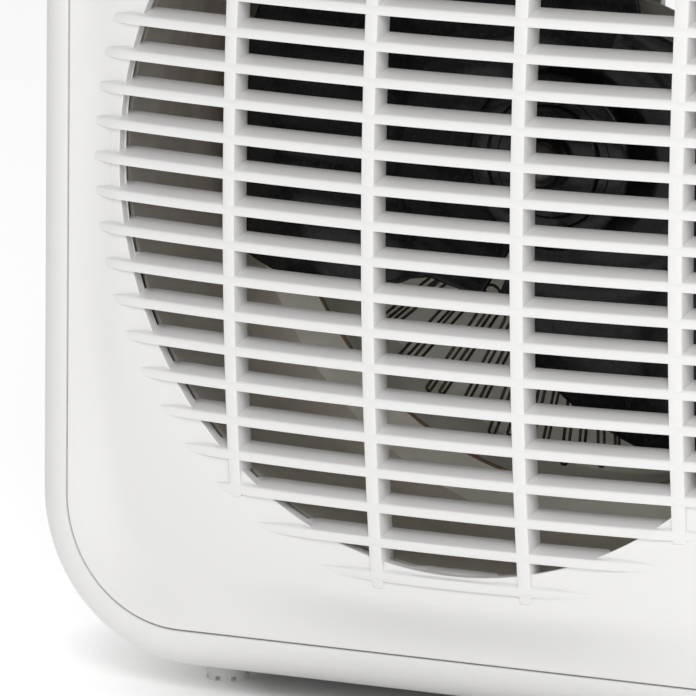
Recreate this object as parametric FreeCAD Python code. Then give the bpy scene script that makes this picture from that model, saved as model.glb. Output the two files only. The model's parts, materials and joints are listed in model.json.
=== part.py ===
import FreeCAD, Part
import math
import os

# Box fan heater.  Millimetres, +Z up, +Y towards the rear, +X to the right seen from the front.
# Origin: middle of the overall box in plan, on the surface that the feet stand on.

Vec = FreeCAD.Vector
AHEAD = Vec(0, 1, 0)
UP = Vec(0, 0, 1)

# ---- driving dimensions: case ----
case_width = 217.0
case_height = 250.0          # without feet and knobs
case_depth = 144.0           # foremost point of the grille to the rear face
wall = 2.4
corner_radius = 37.6         # outer corners of the case seen from the front
rim_radius = 9.1             # rounded front edge of the case
rim_depth = 13.6             # front edge of the case behind the foremost point of the grille
rear_radius = 8.0
rear_cover_depth = 32.0
side_margin = 23.5           # case side to round opening
bottom_margin = 29.7         # case underside to round opening
tongue = 3.0
fit_gap = 0.2
cover_screw_inset = 9.0      # case side to the screws of the rear cover
cover_screw_end = 42.0       # case top and underside to those screws
duct_tab_inset = 10.5        # inside of the case to the tabs of the duct
duct_tab_rise = 36.0
grille_screw_inset = 8.0     # front rim to the screws of the grille
grip_half_length = 48.0
grip_depth = 20.0
grip_low = 42.0              # below the top of the case
grip_high = 16.0
gland_inset_side = 38.0
gland_rise = 26.0

# ---- driving dimensions: grille ----
bow_across = 0.00140         # crown of the grille, 1/mm
bow_upright = 0.00083
slat_pitch = 7.82
slat_height = 2.3
slat_depth = 6.2
slat_drop = 0.9              # middle slat below the centre of the opening
rib_pitch = 36.0
rib_width = 3.2
rib_count = 4
panel_gap = 0.4
skirt_end = 30.0             # depth of the rear edge of the grille's skirt
ledge_width = 16.6

# ---- driving dimensions: air path ----
sheet = 0.8
duct_gap = 0.3               # duct inside larger than the opening
flange_reach = 6.7           # outward flange at the rear of the duct
shroud_step = 9.6            # shroud inside smaller than the opening
element_depth = 14.0
element_gap = 1.7            # shroud flange to spokes
coil_margin = 3.2            # shroud inside to outer bends of the wire
coil_width = 28.0
coil_wire = 0.7
coil_legs = 96
coil_layers = (5.0, 10.5)    # depths of the two layers behind the front edge of the spokes
spoke_count = 4
spoke_shift = 6              # legs by which the spokes are turned
hub_radius = 9.0
hub_bore = 4.5

# ---- driving dimensions: fan and motor ----
fan_front = 51.0             # front of the fan hub behind the front of the grille
fan_depth = 15.0
fan_gap = 3.0                # fan to shroud flange
fan_hub_radius = 20.0
tip_clearance = 5.3
blade_count = 2
blade_thickness = 1.8
blade_pitch = 6.5
cap_radius = 5.8
cap_reach = 7.2
plate_gap = 4.5              # rear of the element to the motor plate
arm_count = 3
arm_angle = 76.0
arm_turn = 242.0
motor_length = 32.0
shaft_radius = 2.5
running_clearance = 0.03
bush_radius = 5.0
bush_length = 7.0
core_width = 60.0
core_stack = 16.0
rotor_radius = 15.0
air_gap = 0.4
bracket_plate = 2.5

# ---- driving dimensions: controls ----
control_depth = 70.0         # middle of the control panel behind the front
control_length = 134.0
control_width = 58.0
control_proud = 1.5
control_overlap = 2.0
knob_spacing = 76.0
knob_radius = 17.0
knob_height = 14.0
knob_lift = 0.6
spindle_radius = 3.0
switch_size = (32.0, 30.0, 18.0)
lens_radius = 4.0

# ---- driving dimensions: feet and base ----
foot_height = 6.0
foot_radius = 6.15
foot_flange = 2.6
foot_inset_side = 36.8       # case side to foot centre
foot_depth_front = 38.8      # front to foot centre
foot_depth_rear = 20.0       # rear face to foot centre
plunger_radius = 3.0
plunger_travel = 3.0
spring_gap = 0.55
spring_wire = 0.7
tip_switch_side = 58.0
tip_switch_depth = 58.0
gland_radius = 6.0

# ---- places worked out from the values above ----
half_width = case_width / 2
base_z = foot_height
top_z = base_z + case_height
opening_radius = half_width - side_margin
centre_z = base_z + bottom_margin + opening_radius
joint_depth = case_depth - rear_cover_depth
duct_radius = opening_radius + duct_gap
flange_radius = duct_radius + sheet + flange_reach
shroud_radius = opening_radius - shroud_step
coil_outer = shroud_radius - coil_margin
coil_inner = coil_outer - coil_width
fan_radius = duct_radius - tip_clearance

fan_rear = fan_front + fan_depth
flange_depth = fan_rear + fan_gap
element_front = flange_depth + sheet + element_gap
element_rear = element_front + element_depth
plate_depth = element_rear + plate_gap
motor_front = plate_depth + sheet
motor_rear = motor_front + motor_length
core_front = (motor_front + motor_rear - core_stack) / 2
core_rear = core_front + core_stack

panel_inset = rim_radius + panel_gap
parts_folder = "parts"
overrun = 1.0                # how far a cutting tool passes a face


def at(depth):
    """Y of a depth behind the foremost point of the grille."""
    return depth - case_depth / 2


def save(name, shape):
    """Write one node as one STEP file."""
    if not shape.isValid():
        raise ValueError(name + " is not a valid shape")
    shape.exportStep(os.path.join(parts_folder, name + ".step"))


def joined(shapes):
    """One solid from touching shapes."""
    return shapes[0].multiFuse(shapes[1:]).removeSplitter()


def cut_all(shape, tools):
    """Take each tool away from the shape."""
    for tool in tools:
        shape = shape.cut(tool)
    return shape


def block(x_low, x_high, front, rear, z_low, z_high):
    """Box between two X values, two depths and two heights."""
    return Part.makeBox(x_high - x_low, rear - front, z_high - z_low, Vec(x_low, at(front), z_low))


def rod(radius, front, rear, x=0.0, z=None):
    """Cylinder along the depth; on the fan axis unless a place is given."""
    height = centre_z if z is None else z
    return Part.makeCylinder(radius, rear - front, Vec(x, at(front), height), AHEAD)


def tube(inner, outer, front, rear, x=0.0, z=None):
    """Hollow cylinder along the depth."""
    return rod(outer, front, rear, x, z).cut(rod(inner, front - overrun, rear + overrun, x, z))


def post(radius, z_low, z_high, x, depth):
    """Upright cylinder."""
    return Part.makeCylinder(radius, z_high - z_low, Vec(x, at(depth), z_low), UP)


def outline(inset, depth):
    """Rounded rectangle, inset from the outside of the case, at one depth."""
    side = half_width - inset
    low = base_z + inset
    high = top_z - inset
    radius = corner_radius - inset
    y = at(depth)
    diagonal = radius * math.sqrt(0.5)
    edges = []
    corners = ((1, 1), (-1, 1), (-1, -1), (1, -1))
    for sx, sz in corners:
        cx = sx * (side - radius)
        cz = (high - radius) if sz > 0 else (low + radius)
        if sx * sz > 0:
            start, end = Vec(cx + sx * radius, y, cz), Vec(cx, y, cz + sz * radius)
        else:
            start, end = Vec(cx, y, cz + sz * radius), Vec(cx + sx * radius, y, cz)
        middle = Vec(cx + sx * diagonal, y, cz + sz * diagonal)
        edges.append((start, middle, end))
    path = []
    for index, (start, middle, end) in enumerate(edges):
        path.append(Part.Arc(start, middle, end).toShape())
        path.append(Part.LineSegment(end, edges[(index + 1) % len(edges)][0]).toShape())
    return Part.Wire(path)


def slab(inset, front, rear):
    """Plate or block with the outline of the case, inset, between two depths."""
    return Part.Face(outline(inset, front)).extrude(Vec(0, rear - front, 0))


def rounded_slab(inset, front, rear, radius, round_front):
    """A slab whose front or rear edge is rounded."""
    solid = slab(inset, front, rear)
    y = at(front if round_front else rear)
    edges = [edge for edge in solid.Edges
             if all(abs(vertex.Y - y) < 1e-6 for vertex in edge.Vertexes)]
    return solid.makeFillet(radius, edges)


def corner_places(inset):
    """Places on the diagonals of the four corner arcs, inset from the case's outside."""
    reach = (corner_radius - inset) * math.sqrt(0.5)
    side = half_width - corner_radius + reach
    low = base_z + corner_radius - reach
    high = top_z - corner_radius + reach
    return [(x, z) for x in (-side, side) for z in (low, high)]


# ---- grille ----

def behind_crown(shift):
    """Solid of everything behind the crowned front surface, moved back by a shift."""
    x_ends = (-half_width - 6.0, half_width + 6.0)
    rise_ends = (base_z - centre_z - 6.0, top_z - centre_z + 6.0)
    x_poles = (x_ends[0], (x_ends[0] + x_ends[1]) / 2, x_ends[1])
    rise_poles = (rise_ends[0], (rise_ends[0] + rise_ends[1]) / 2, rise_ends[1])
    x_bow = [bow_across * value for value in (x_ends[0] ** 2, x_ends[0] * x_ends[1], x_ends[1] ** 2)]
    rise_bow = [bow_upright * value
                for value in (rise_ends[0] ** 2, rise_ends[0] * rise_ends[1], rise_ends[1] ** 2)]
    surface = Part.BezierSurface()
    surface.increase(2, 2)
    for i, x in enumerate(x_poles):
        for j, rise in enumerate(rise_poles):
            surface.setPole(i + 1, j + 1, Vec(x, at(x_bow[i] + rise_bow[j] + shift), centre_z + rise))
    return surface.toShape().extrude(Vec(0, case_depth / 2, 0))


def grille_screw_places():
    return corner_places(rim_radius + grille_screw_inset)


def front_grille():
    """Crowned panel with a round opening, slats, upright ribs, a skirt and four screw bosses."""
    crown = behind_crown(0.0)
    front = -overrun
    plate = slab(panel_inset, front, skirt_end).cut(rod(opening_radius, front - overrun, skirt_end + overrun))
    cavity = slab(panel_inset + wall, front, skirt_end + overrun)
    collar = rod(opening_radius + wall, front - overrun, skirt_end + overrun)
    cavity = cavity.common(behind_crown(wall)).cut(collar)
    collar_space = collar.common(behind_crown(slat_depth))
    plate = plate.common(crown).cut(cavity).cut(collar_space)
    bosses = []
    for x, z in grille_screw_places():
        bosses.append(tube(1.3, 3.5, front, skirt_end, x, z).common(behind_crown(wall / 2)))
    reach = opening_radius + wall / 2
    strips = []
    row_count = int((opening_radius + slat_drop) / slat_pitch)
    for row in range(-row_count, row_count + 1):
        z = centre_z - slat_drop + row * slat_pitch
        strips.append(block(-reach, reach, front, skirt_end, z - slat_height / 2, z + slat_height / 2))
    for column in range(rib_count):
        x = (column - (rib_count - 1) / 2) * rib_pitch
        strips.append(block(x - rib_width / 2, x + rib_width / 2, front, skirt_end,
                            centre_z - reach, centre_z + reach))
    lattice = strips[0].multiFuse(strips[1:]).common(rod(reach, front, skirt_end))
    lattice = lattice.common(crown).cut(behind_crown(slat_depth))
    return plate.multiFuse([lattice] + bosses)


# ---- case ----

def cover_screw_places():
    side = half_width - cover_screw_inset
    return [(x, z) for x in (-side, side) for z in (base_z + cover_screw_end, top_z - cover_screw_end)]


def duct_tab_places():
    side = half_width - wall - duct_tab_inset
    return [(x, centre_z + rise) for x in (-side, side) for rise in (-duct_tab_rise, duct_tab_rise)]


def foot_places():
    side = half_width - foot_inset_side
    return [(x, depth) for x in (-side, side) for depth in (foot_depth_front, case_depth - foot_depth_rear)]


def case_body():
    """Wrap-around shell with a rounded front rim, a ledge for the grille and columns for screws."""
    outer = rounded_slab(0.0, rim_depth, joint_depth, rim_radius, True)
    inner = rounded_slab(wall, rim_depth + wall, joint_depth + overrun, rim_radius - wall, True)
    window = slab(rim_radius, rim_depth - overrun, rim_depth + wall + overrun)
    shell = outer.cut(inner).cut(window)
    ledge_rear = skirt_end + wall
    ledge = slab(wall, skirt_end, ledge_rear).cut(slab(wall + ledge_width, 0, ledge_rear + overrun))
    pieces = [shell, ledge]
    for x, z in grille_screw_places():
        pieces.append(rod(5.5, skirt_end, ledge_rear, x, z))
    for x, z in cover_screw_places():
        pieces.append(rod(4.0, ledge_rear - overrun, joint_depth, x, z))
        side = math.copysign(half_width - wall / 2, x)
        pieces.append(block(min(x, side), max(x, side), ledge_rear - overrun, joint_depth - 4.0, z - 0.8, z + 0.8))
    body = joined(pieces)
    holes = [rod(2.1, 0, case_depth, x, z).common(slab(0, skirt_end - overrun, ledge_rear + overrun))
             for x, z in grille_screw_places()]
    holes += [rod(1.3, joint_depth - 14.0, case_depth, x, z) for x, z in cover_screw_places()]
    holes += [rod(1.3, skirt_end - overrun, ledge_rear + overrun, x, z) for x, z in duct_tab_places()]
    holes += [post(1.8, base_z - overrun, base_z + wall + overrun, x, depth)
              for x, depth in foot_places() if depth < joint_depth]
    holes.append(post(plunger_radius + 0.35, base_z - overrun, base_z + wall + overrun,
                      tip_switch_side, tip_switch_depth))
    holes.append(control_window(0.0, top_z - wall - overrun, top_z + overrun))
    return cut_all(body, holes)


def rounded_tablet(length, width, radius, z_low, z_high, depth):
    """Upright block with rounded corners seen from above."""
    solid = Part.makeBox(length, width, z_high - z_low, Vec(-length / 2, at(depth) - width / 2, z_low))
    edges = [edge for edge in solid.Edges if abs(edge.Vertexes[0].Z - edge.Vertexes[-1].Z) > 1e-6]
    return solid.makeFillet(radius, edges)


def control_window(shrink, z_low, z_high):
    return rounded_tablet(control_length - 2 * (control_overlap + shrink),
                          control_width - 2 * (control_overlap + shrink),
                          12.0 - control_overlap - shrink, z_low, z_high, control_depth)


def grip_space(grow, rear):
    """Space of the finger grip at the top of the rear cover."""
    return block(-grip_half_length - grow, grip_half_length + grow, case_depth - grip_depth - grow, rear,
                 top_z - grip_low - grow, top_z - grip_high + grow)


def gland_place():
    return half_width - gland_inset_side, base_z + gland_rise


def rear_cover():
    """Rear shell with air intake slots, a finger grip and wells for the screws."""
    outer = rounded_slab(0.0, joint_depth, case_depth, rear_radius, False)
    inner = rounded_slab(wall, joint_depth - overrun, case_depth - wall, rear_radius - wall, False)
    lip = slab(wall + fit_gap, joint_depth - tongue, joint_depth + 2.0)
    lip = lip.cut(slab(wall + fit_gap + 1.4, 0, case_depth))
    seat = slab(wall / 2, joint_depth, joint_depth + 2.0).cut(slab(wall + fit_gap + 1.4, 0, case_depth))
    grip = grip_space(wall, case_depth - wall / 2).cut(grip_space(0.0, case_depth))
    pieces = [outer.cut(inner), lip, seat, grip]
    for x, z in cover_screw_places():
        pieces.append(rod(5.4, joint_depth, case_depth - wall / 2, x, z))
    cover = joined(pieces)
    tools = [grip_space(0.0, case_depth + overrun)]
    for x, z in cover_screw_places():
        tools.append(rod(2.2, joint_depth - overrun, case_depth, x, z))
        tools.append(rod(4.2, joint_depth + 4.0, case_depth + overrun, x, z))
        tools.append(rod(4.4, joint_depth - tongue - overrun, joint_depth, x, z))
    gland_x, gland_z = gland_place()
    tools.append(rod(gland_radius + fit_gap, case_depth - wall - overrun, case_depth + overrun, gland_x, gland_z))
    tools += [post(1.8, base_z - overrun, base_z + wall + overrun, x, depth)
              for x, depth in foot_places() if depth > joint_depth]
    cover = cut_all(cover, tools)
    return cover.cut(intake_slots())


def intake_slots():
    """Slots of the air intake, in rows between upright bars."""
    radius = opening_radius - 6.0
    bars = [(column - (rib_count - 1) / 2) * rib_pitch for column in range(rib_count)]
    edges = [-radius] + bars + [radius]
    row_count = int((radius - 4.0) / slat_pitch)
    slots = []
    for row in range(-row_count, row_count + 1):
        z = centre_z + row * slat_pitch
        for left, right in zip(edges[:-1], edges[1:]):
            slots.append(block(left + rib_width / 2, right - rib_width / 2, case_depth - wall - overrun,
                               case_depth + overrun, z - 2.4, z + 2.4))
    return Part.makeCompound(slots).common(rod(radius, case_depth - 2 * wall, case_depth + 2 * overrun))


# ---- air path ----

def flange_screw_places():
    radius = flange_radius - flange_reach / 2
    return [(radius * math.cos(math.radians(angle)), centre_z + radius * math.sin(math.radians(angle)))
            for angle in (45, 135, 225, 315)]


def duct_ring():
    """Rolled sheet cylinder with an outward rear flange and four tabs that screw to the case ledge."""
    body = tube(duct_radius, duct_radius + sheet, 0.0, flange_depth).common(behind_crown(slat_depth + fit_gap))
    pieces = [body, tube(duct_radius, flange_radius, flange_depth - sheet, flange_depth)]
    tab_front = skirt_end + wall
    for x, z in duct_tab_places():
        end = math.copysign(abs(x) + 5.0, x)
        near = math.copysign(duct_radius * 0.85, x)
        tab = block(min(near, end), max(near, end), tab_front, tab_front + sheet, z - 6.0, z + 6.0)
        pieces.append(tab.cut(rod(duct_radius + sheet / 2, 0, case_depth)))
    duct = joined(pieces)
    holes = [rod(1.7, tab_front - overrun, tab_front + sheet + overrun, x, z) for x, z in duct_tab_places()]
    holes += [rod(1.7, flange_depth - sheet - overrun, flange_depth + overrun, x, z)
              for x, z in flange_screw_places()]
    return cut_all(duct, holes)


def fan_shroud():
    """Flat ring that narrows the duct behind the fan, with a short cylinder round the element."""
    ring = tube(shroud_radius, flange_radius, flange_depth, flange_depth + sheet)
    barrel = tube(shroud_radius, shroud_radius + sheet, flange_depth, plate_depth)
    holes = [rod(1.7, flange_depth - overrun, flange_depth + sheet + overrun, x, z)
             for x, z in flange_screw_places()]
    return cut_all(joined([ring, barrel]), holes)


def leg_angle(index):
    """Angle of one leg of the zigzag wire; legs alternate between joining outside and inside."""
    return math.radians(360.0 / coil_legs * index)


def spoke_angles():
    """Spokes stand midway under outer bends of the wire."""
    first = [coil_legs // spoke_count * k + spoke_shift for k in range(spoke_count)]
    return [(leg_angle(leg) + leg_angle(leg + 1)) / 2 for leg in first]


def heating_wire(layer):
    """One layer of zigzag wire: radial legs joined in turn at the outer and the inner radius."""
    depth = element_front + coil_layers[layer]
    half = coil_wire / 2
    first_leg = coil_legs // 4 + 2 + layer
    upper_side, lower_side = [], []
    for k in range(coil_legs - 4):
        angle = leg_angle(first_leg + k)
        outward = k % 2 == 0
        side = -1 if outward else 1
        for radius in (coil_inner, coil_outer) if outward else (coil_outer, coil_inner):
            upper_side.append((radius + half, angle + side * half / radius))
            lower_side.append((radius - half, angle - side * half / radius))
    y = at(depth - half)
    ring = [Vec(radius * math.cos(angle), y, centre_z + radius * math.sin(angle))
            for radius, angle in upper_side + lower_side[::-1]]
    return Part.Face(Part.makePolygon(ring + ring[:1])).extrude(Vec(0, coil_wire, 0))


def mica_spokes():
    """Radial mica strips with a slot where each wire layer crosses."""
    spokes = []
    for angle in spoke_angles():
        strip = block(hub_radius + 0.1, shroud_radius - 0.1, element_front, element_rear,
                      centre_z - sheet / 2, centre_z + sheet / 2)
        for layer, bend in zip(coil_layers, (coil_outer, coil_inner)):
            depth = element_front + layer
            strip = strip.cut(block(bend - 1.2, bend + 1.2, depth - 0.8, depth + 0.8,
                                    centre_z - sheet, centre_z + sheet))
        spokes.append(strip.rotate(Vec(0, 0, centre_z), Vec(0, -1, 0), math.degrees(angle)))
    return Part.makeCompound(spokes)


def element_hub():
    """Ceramic ring that the spokes stand on, with room for the motor shaft."""
    return tube(hub_bore, hub_radius, element_front - 1.5, element_rear)


def thermal_cutout():
    """Disc thermostat on the top of the duct, with its two tabs."""
    depth = flange_depth - 22.0
    seat = centre_z + duct_radius + sheet
    cup = post(8.0, seat, seat + 5.0, 0.0, depth)
    cap = post(6.5, seat + 5.0, seat + 9.0, 0.0, depth)
    tabs = [block(x - 0.4, x + 0.4, depth - 3.0, depth + 3.0, seat + 9.0, seat + 17.0) for x in (-4.0, 4.0)]
    foot = block(-11.0, 11.0, depth - 4.0, depth + 4.0, seat + 0.6, seat + 1.2)
    below = rod(duct_radius + sheet, 0, case_depth)
    return joined([cup, cap, foot] + tabs).cut(below)


def thermal_fuse():
    """Axial fuse whose leads reach the two spokes beside it."""
    depth = element_front + 3.0
    radius = hub_radius + 17.0
    half_sector = math.radians(180.0 / spoke_count)
    lead = radius * math.tan(half_sector) - 2 * sheet
    body = post(2.0, centre_z - 6.0, centre_z + 6.0, radius, depth)
    leads = post(0.5, centre_z - lead, centre_z + lead, radius, depth)
    turn = math.degrees(spoke_angles()[0] + half_sector)
    return joined([body, leads]).rotate(Vec(0, 0, centre_z), Vec(0, -1, 0), turn)


def fan_blade(turn):
    """Broad blade: a tilted slab with a bowed lower edge, a straight upper edge and a round tip."""
    reach = fan_radius + 10.0

    def place(x, rise):
        return Vec(x, at(fan_front), centre_z + rise)

    low_root, low_shoulder, low_end = place(-17, -32), place(-30, -28), place(-84, -21)
    high_end, high_shoulder, high_root = place(-52, 83), place(11, 46), place(17, 32)
    lower_edge = Part.Arc(low_shoulder, place(-50, -33.6), low_end).toShape()
    corners = [low_end, place(-reach, -21), place(-reach, reach), high_end, high_shoulder, high_root,
               low_root, low_shoulder]
    planform = Part.Wire([lower_edge] + Part.makePolygon(corners).Edges)
    prism = Part.Face(planform).extrude(Vec(0, fan_depth, 0))
    along = (high_root - low_root).normalize()
    outwards = Vec(along.z, 0, -along.x) * -1
    middle = Vec(0, at(fan_front + fan_depth / 2 + 1.0), centre_z)
    slab_box = Part.makeBox(3 * reach, blade_thickness, 3 * reach,
                            middle - Vec(1.5 * reach, blade_thickness / 2, 1.5 * reach))
    slab_box.rotate(middle, outwards, blade_pitch)
    blade = slab_box.common(prism).common(rod(fan_radius, fan_front, fan_rear))
    return blade.rotate(Vec(0, 0, centre_z), Vec(0, 1, 0), turn)


def fan_impeller():
    """Moulded fan: cupped hub with a central boss and broad blades."""
    cup = rod(fan_hub_radius, fan_front + 0.6, fan_rear - 1.0).cut(
        tube(7.0, fan_hub_radius - 2.0, fan_front + 3.1, fan_rear))
    cup = cup.fuse(rod(12.0, fan_front, fan_front + 1.0))
    blades = [fan_blade(360.0 / blade_count * k) for k in range(blade_count)]
    blades = [blade.cut(rod(fan_hub_radius - 1.0, 0, case_depth)) for blade in blades]
    fan = cup.multiFuse(blades).removeSplitter()
    return fan.cut(rod(shaft_radius, fan_front - overrun, fan_rear + overrun))


def fan_nut():
    """Domed nut that holds the fan on the shaft."""
    front = fan_front - cap_reach
    dome = Part.makeSphere(cap_radius, Vec(0, at(front + cap_radius), centre_z))
    dome = dome.common(rod(cap_radius, front - 1.0, front + cap_radius))
    skirt = rod(cap_radius, front + cap_radius, fan_front)
    return dome.fuse(skirt).removeSplitter().cut(rod(shaft_radius, fan_front - 4.0, fan_front + overrun))


# ---- motor ----

def motor_shaft():
    return rod(shaft_radius, fan_front - 3.0, motor_rear + 1.0)


def motor_rotor():
    """Squirrel-cage rotor pressed on the shaft."""
    cage = rod(rotor_radius, core_front, core_rear)
    ends = [rod(rotor_radius - 1.5, core_front - 1.5, core_front), rod(rotor_radius - 1.5, core_rear, core_rear + 1.5)]
    return joined([cage] + ends).cut(rod(shaft_radius, 0, case_depth))


def leg_heights():
    """Underside and top of the core leg that carries the winding."""
    return centre_z - 44.0, centre_z - 32.0


def stator_core():
    """Laminated shaded-pole core with its bore, window and screw holes."""
    low, high = leg_heights()
    core = block(-core_width / 2, core_width / 2, core_front, core_rear, low, centre_z + 22.0)
    window = block(-18.0, 18.0, core_front - overrun, core_rear + overrun, high, centre_z - 19.0)
    tools = [rod(rotor_radius + air_gap, 0, case_depth), window]
    tools += [rod(shaft_radius - 0.4, 0, case_depth, x) for x in motor_screw_sides()]
    return cut_all(core, tools)


def bobbin_half():
    return (motor_length - 2.0) / 2


def winding_bobbin():
    """Bobbin round the lower leg of the core."""
    low, high = leg_heights()
    middle = (core_front + core_rear) / 2
    gap = 0.1
    sleeve = block(-17.5, 17.5, core_front - 1.5, core_rear + 1.5, low - 1.5, high + 1.5)
    ends = [block(x, x + 1.2, middle - bobbin_half(), middle + bobbin_half(), low - 9.0, high + 12.5)
            for x in (-17.5, 16.3)]
    hole = block(-20, 20, core_front - gap, core_rear + gap, low - gap, high + gap)
    return joined([sleeve] + ends).cut(hole)


def stator_winding():
    """Copper winding on the bobbin."""
    low, high = leg_heights()
    middle = (core_front + core_rear) / 2
    reach = bobbin_half() - 0.6
    copper = block(-16.3, 16.3, middle - reach, middle + reach, low - 8.2, high + 11.5)
    return copper.cut(block(-17, 17, core_front - 1.5, core_rear + 1.5, low - 1.5, high + 1.5))


def motor_screw_sides():
    return -core_width / 2 + 5.0, core_width / 2 - 5.0


def bearing_bracket(front, inwards):
    """Strip with a bearing boss and two feet on the core; inwards is 1 for the front one."""
    strip = block(-core_width / 2, core_width / 2, front, front + bracket_plate, centre_z - 8.0, centre_z + 8.0)
    if inwards > 0:
        boss = rod(bush_radius + 3.0, front, front + bush_length - 0.5)
        feet = [rod(4.5, front, core_front, x) for x in motor_screw_sides()]
    else:
        boss = rod(bush_radius + 3.0, front + bracket_plate - bush_length + 0.5, front + bracket_plate)
        feet = [rod(4.5, core_rear, front + bracket_plate, x) for x in motor_screw_sides()]
    tools = [rod(bush_radius, 0, case_depth)] + [rod(shaft_radius - 0.4, 0, case_depth, x)
                                                 for x in motor_screw_sides()]
    return cut_all(joined([strip, boss] + feet), tools)


def bearing_bush(front):
    """Sintered bush in a bearing boss."""
    return tube(shaft_radius + running_clearance, bush_radius, front, front + bush_length - 0.5)


def motor_plate():
    """Sheet plate that carries the motor on wide arms to the end of the shroud."""
    rear = motor_front
    outer = shroud_radius + sheet
    plate = rod(32.0, plate_depth, rear)
    half = math.tan(math.radians(arm_angle / 2))
    arms = []
    for k in range(arm_count):
        corners = [Vec(0, at(plate_depth), centre_z),
                   Vec(2 * outer, at(plate_depth), centre_z - 2 * outer * half),
                   Vec(2 * outer, at(plate_depth), centre_z + 2 * outer * half)]
        arm = Part.Face(Part.makePolygon(corners + corners[:1])).extrude(Vec(0, rear - plate_depth, 0))
        arm = arm.common(rod(outer, plate_depth, rear))
        arms.append(arm.rotate(Vec(0, 0, centre_z), Vec(0, -1, 0), arm_turn + 360.0 / arm_count * k))
    tools = [rod(shaft_radius + 2.0, 0, case_depth)]
    tools += [rod(shaft_radius - 0.4, 0, case_depth, x) for x in motor_screw_sides()]
    return cut_all(joined([plate] + arms), tools)


def pan_screw(point, direction, length, thread_radius, head_radius, head_height):
    """Screw with a domed head; point is under the head and direction runs to its tip."""
    shank = Part.makeCylinder(thread_radius, length, point, direction)
    head = Part.makeCylinder(head_radius, head_height, point - direction * head_height, direction)
    rim = [edge for edge in head.Edges if len(edge.Vertexes) == 1
           and abs((edge.Vertexes[0].Point - point).dot(direction) + head_height) < 1e-6]
    head = head.makeFillet(head_height * 0.45, rim)
    return shank.fuse(head).removeSplitter()


def screws(points, direction, length, thread_radius=1.3, head_radius=3.2, head_height=1.8):
    return Part.makeCompound([pan_screw(point, direction, length, thread_radius, head_radius, head_height)
                              for point in points])


def motor_screws():
    places = [Vec(x, at(motor_rear), centre_z) for x in motor_screw_sides()]
    return screws(places, Vec(0, -1, 0), motor_length + sheet, shaft_radius - 0.4, 4.0, 2.2)


# ---- controls ----

def knob_places():
    return -knob_spacing / 2, knob_spacing / 2


def control_panel():
    """Insert in the top of the case, with holes for two spindles and the lens."""
    plate = rounded_tablet(control_length, control_width, 12.0, top_z, top_z + control_proud, control_depth)
    edge = [item for item in plate.Edges if all(abs(v.Z - top_z - control_proud) < 1e-6 for v in item.Vertexes)]
    plate = plate.makeFillet(control_proud * 0.5, edge)
    plug = control_window(fit_gap, top_z - wall - 1.0, top_z)
    panel = joined([plate, plug])
    tools = [post(spindle_radius + 0.4, 0, 2 * top_z, x, control_depth) for x in knob_places()]
    tools.append(post(lens_radius + 0.1, 0, 2 * top_z, 0.0, control_depth))
    return cut_all(panel, tools)


def knob_base():
    return top_z + control_proud + knob_lift


def control_knob(x):
    """Round knob with a grip bar across its top and a blind hole for the spindle."""
    low = knob_base()
    disc = post(knob_radius, low, low + knob_height * 0.4, x, control_depth)
    bar = Part.makeBox(2 * knob_radius - 3.0, 8.0, knob_height * 0.6,
                       Vec(x - knob_radius + 1.5, at(control_depth) - 4.0, low + knob_height * 0.4))
    spindle_hole = post(spindle_radius, low - overrun, low + knob_height - 3.0, x, control_depth)
    return disc.fuse(bar).removeSplitter().cut(spindle_hole)


def control_underside():
    return top_z - wall - 1.0


def spindle(x, depth_below):
    """Spindle from inside a control up into its knob."""
    return post(spindle_radius, control_underside() - depth_below, knob_base() + knob_height - 3.0, x, control_depth)


def spindle_hole(x):
    return post(spindle_radius + running_clearance, 0, 2 * top_z, x, control_depth)


def selector_switch():
    """Rotary switch body with its row of tabs."""
    length, width, height = switch_size
    x = knob_places()[0]
    top = control_underside()
    body = Part.makeBox(length, width, height, Vec(x - length / 2, at(control_depth) - width / 2, top - height))
    tabs = [Part.makeBox(0.8, 6.0, 7.0, Vec(x - 12.0 + 6.0 * k, at(control_depth) - 3.0, top - height - 7.0))
            for k in range(5)]
    return joined([body] + tabs).cut(post(spindle_radius + running_clearance, top - 14.0, top + 1, x, control_depth))


def thermostat_frame():
    """Thermostat body: ceramic block with a hole for the spindle and two side tabs."""
    x = knob_places()[1]
    top = control_underside()
    y = at(control_depth)
    block_body = Part.makeBox(24.0, 18.0, 9.0, Vec(x - 12.0, y - 9.0, top - 9.0))
    ears = [Part.makeBox(9.0, 6.0, 0.8, Vec(x + side, y - 3.0, top - 8.0)) for side in (-20.5, 11.5)]
    return joined([block_body] + ears).cut(spindle_hole(x))


def thermostat_blade():
    """Bimetal blade that hangs under the thermostat."""
    x = knob_places()[1]
    low = control_underside() - 9.0
    y = at(control_depth)
    arm = Part.makeBox(30.0, 7.0, 0.6, Vec(x - 14.0, y - 3.5, low - 4.0))
    stand = Part.makeBox(4.0, 7.0, 3.4, Vec(x - 14.0, y - 3.5, low - 3.4))
    return joined([arm, stand])


def pilot_lens():
    """Domed lens in the control panel."""
    top = top_z + control_proud
    low = control_underside()
    body = post(lens_radius, low, top, 0.0, control_depth)
    rim = post(lens_radius + 1.0, top, top + 0.6, 0.0, control_depth)
    dome = Part.makeSphere(lens_radius * 1.3, Vec(0, at(control_depth), top - 1.6))
    dome = dome.common(post(lens_radius, top, top + 6.0, 0.0, control_depth))
    return body.fuse([rim, dome]).removeSplitter().cut(post(lens_radius - 1.0, low - 1, top - 1.0, 0.0, control_depth))


def pilot_lamp():
    """Neon lamp below the lens."""
    low = control_underside()
    return post(2.2, low - 9.0, low + 1.5, 0.0, control_depth)


# ---- base ----

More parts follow.
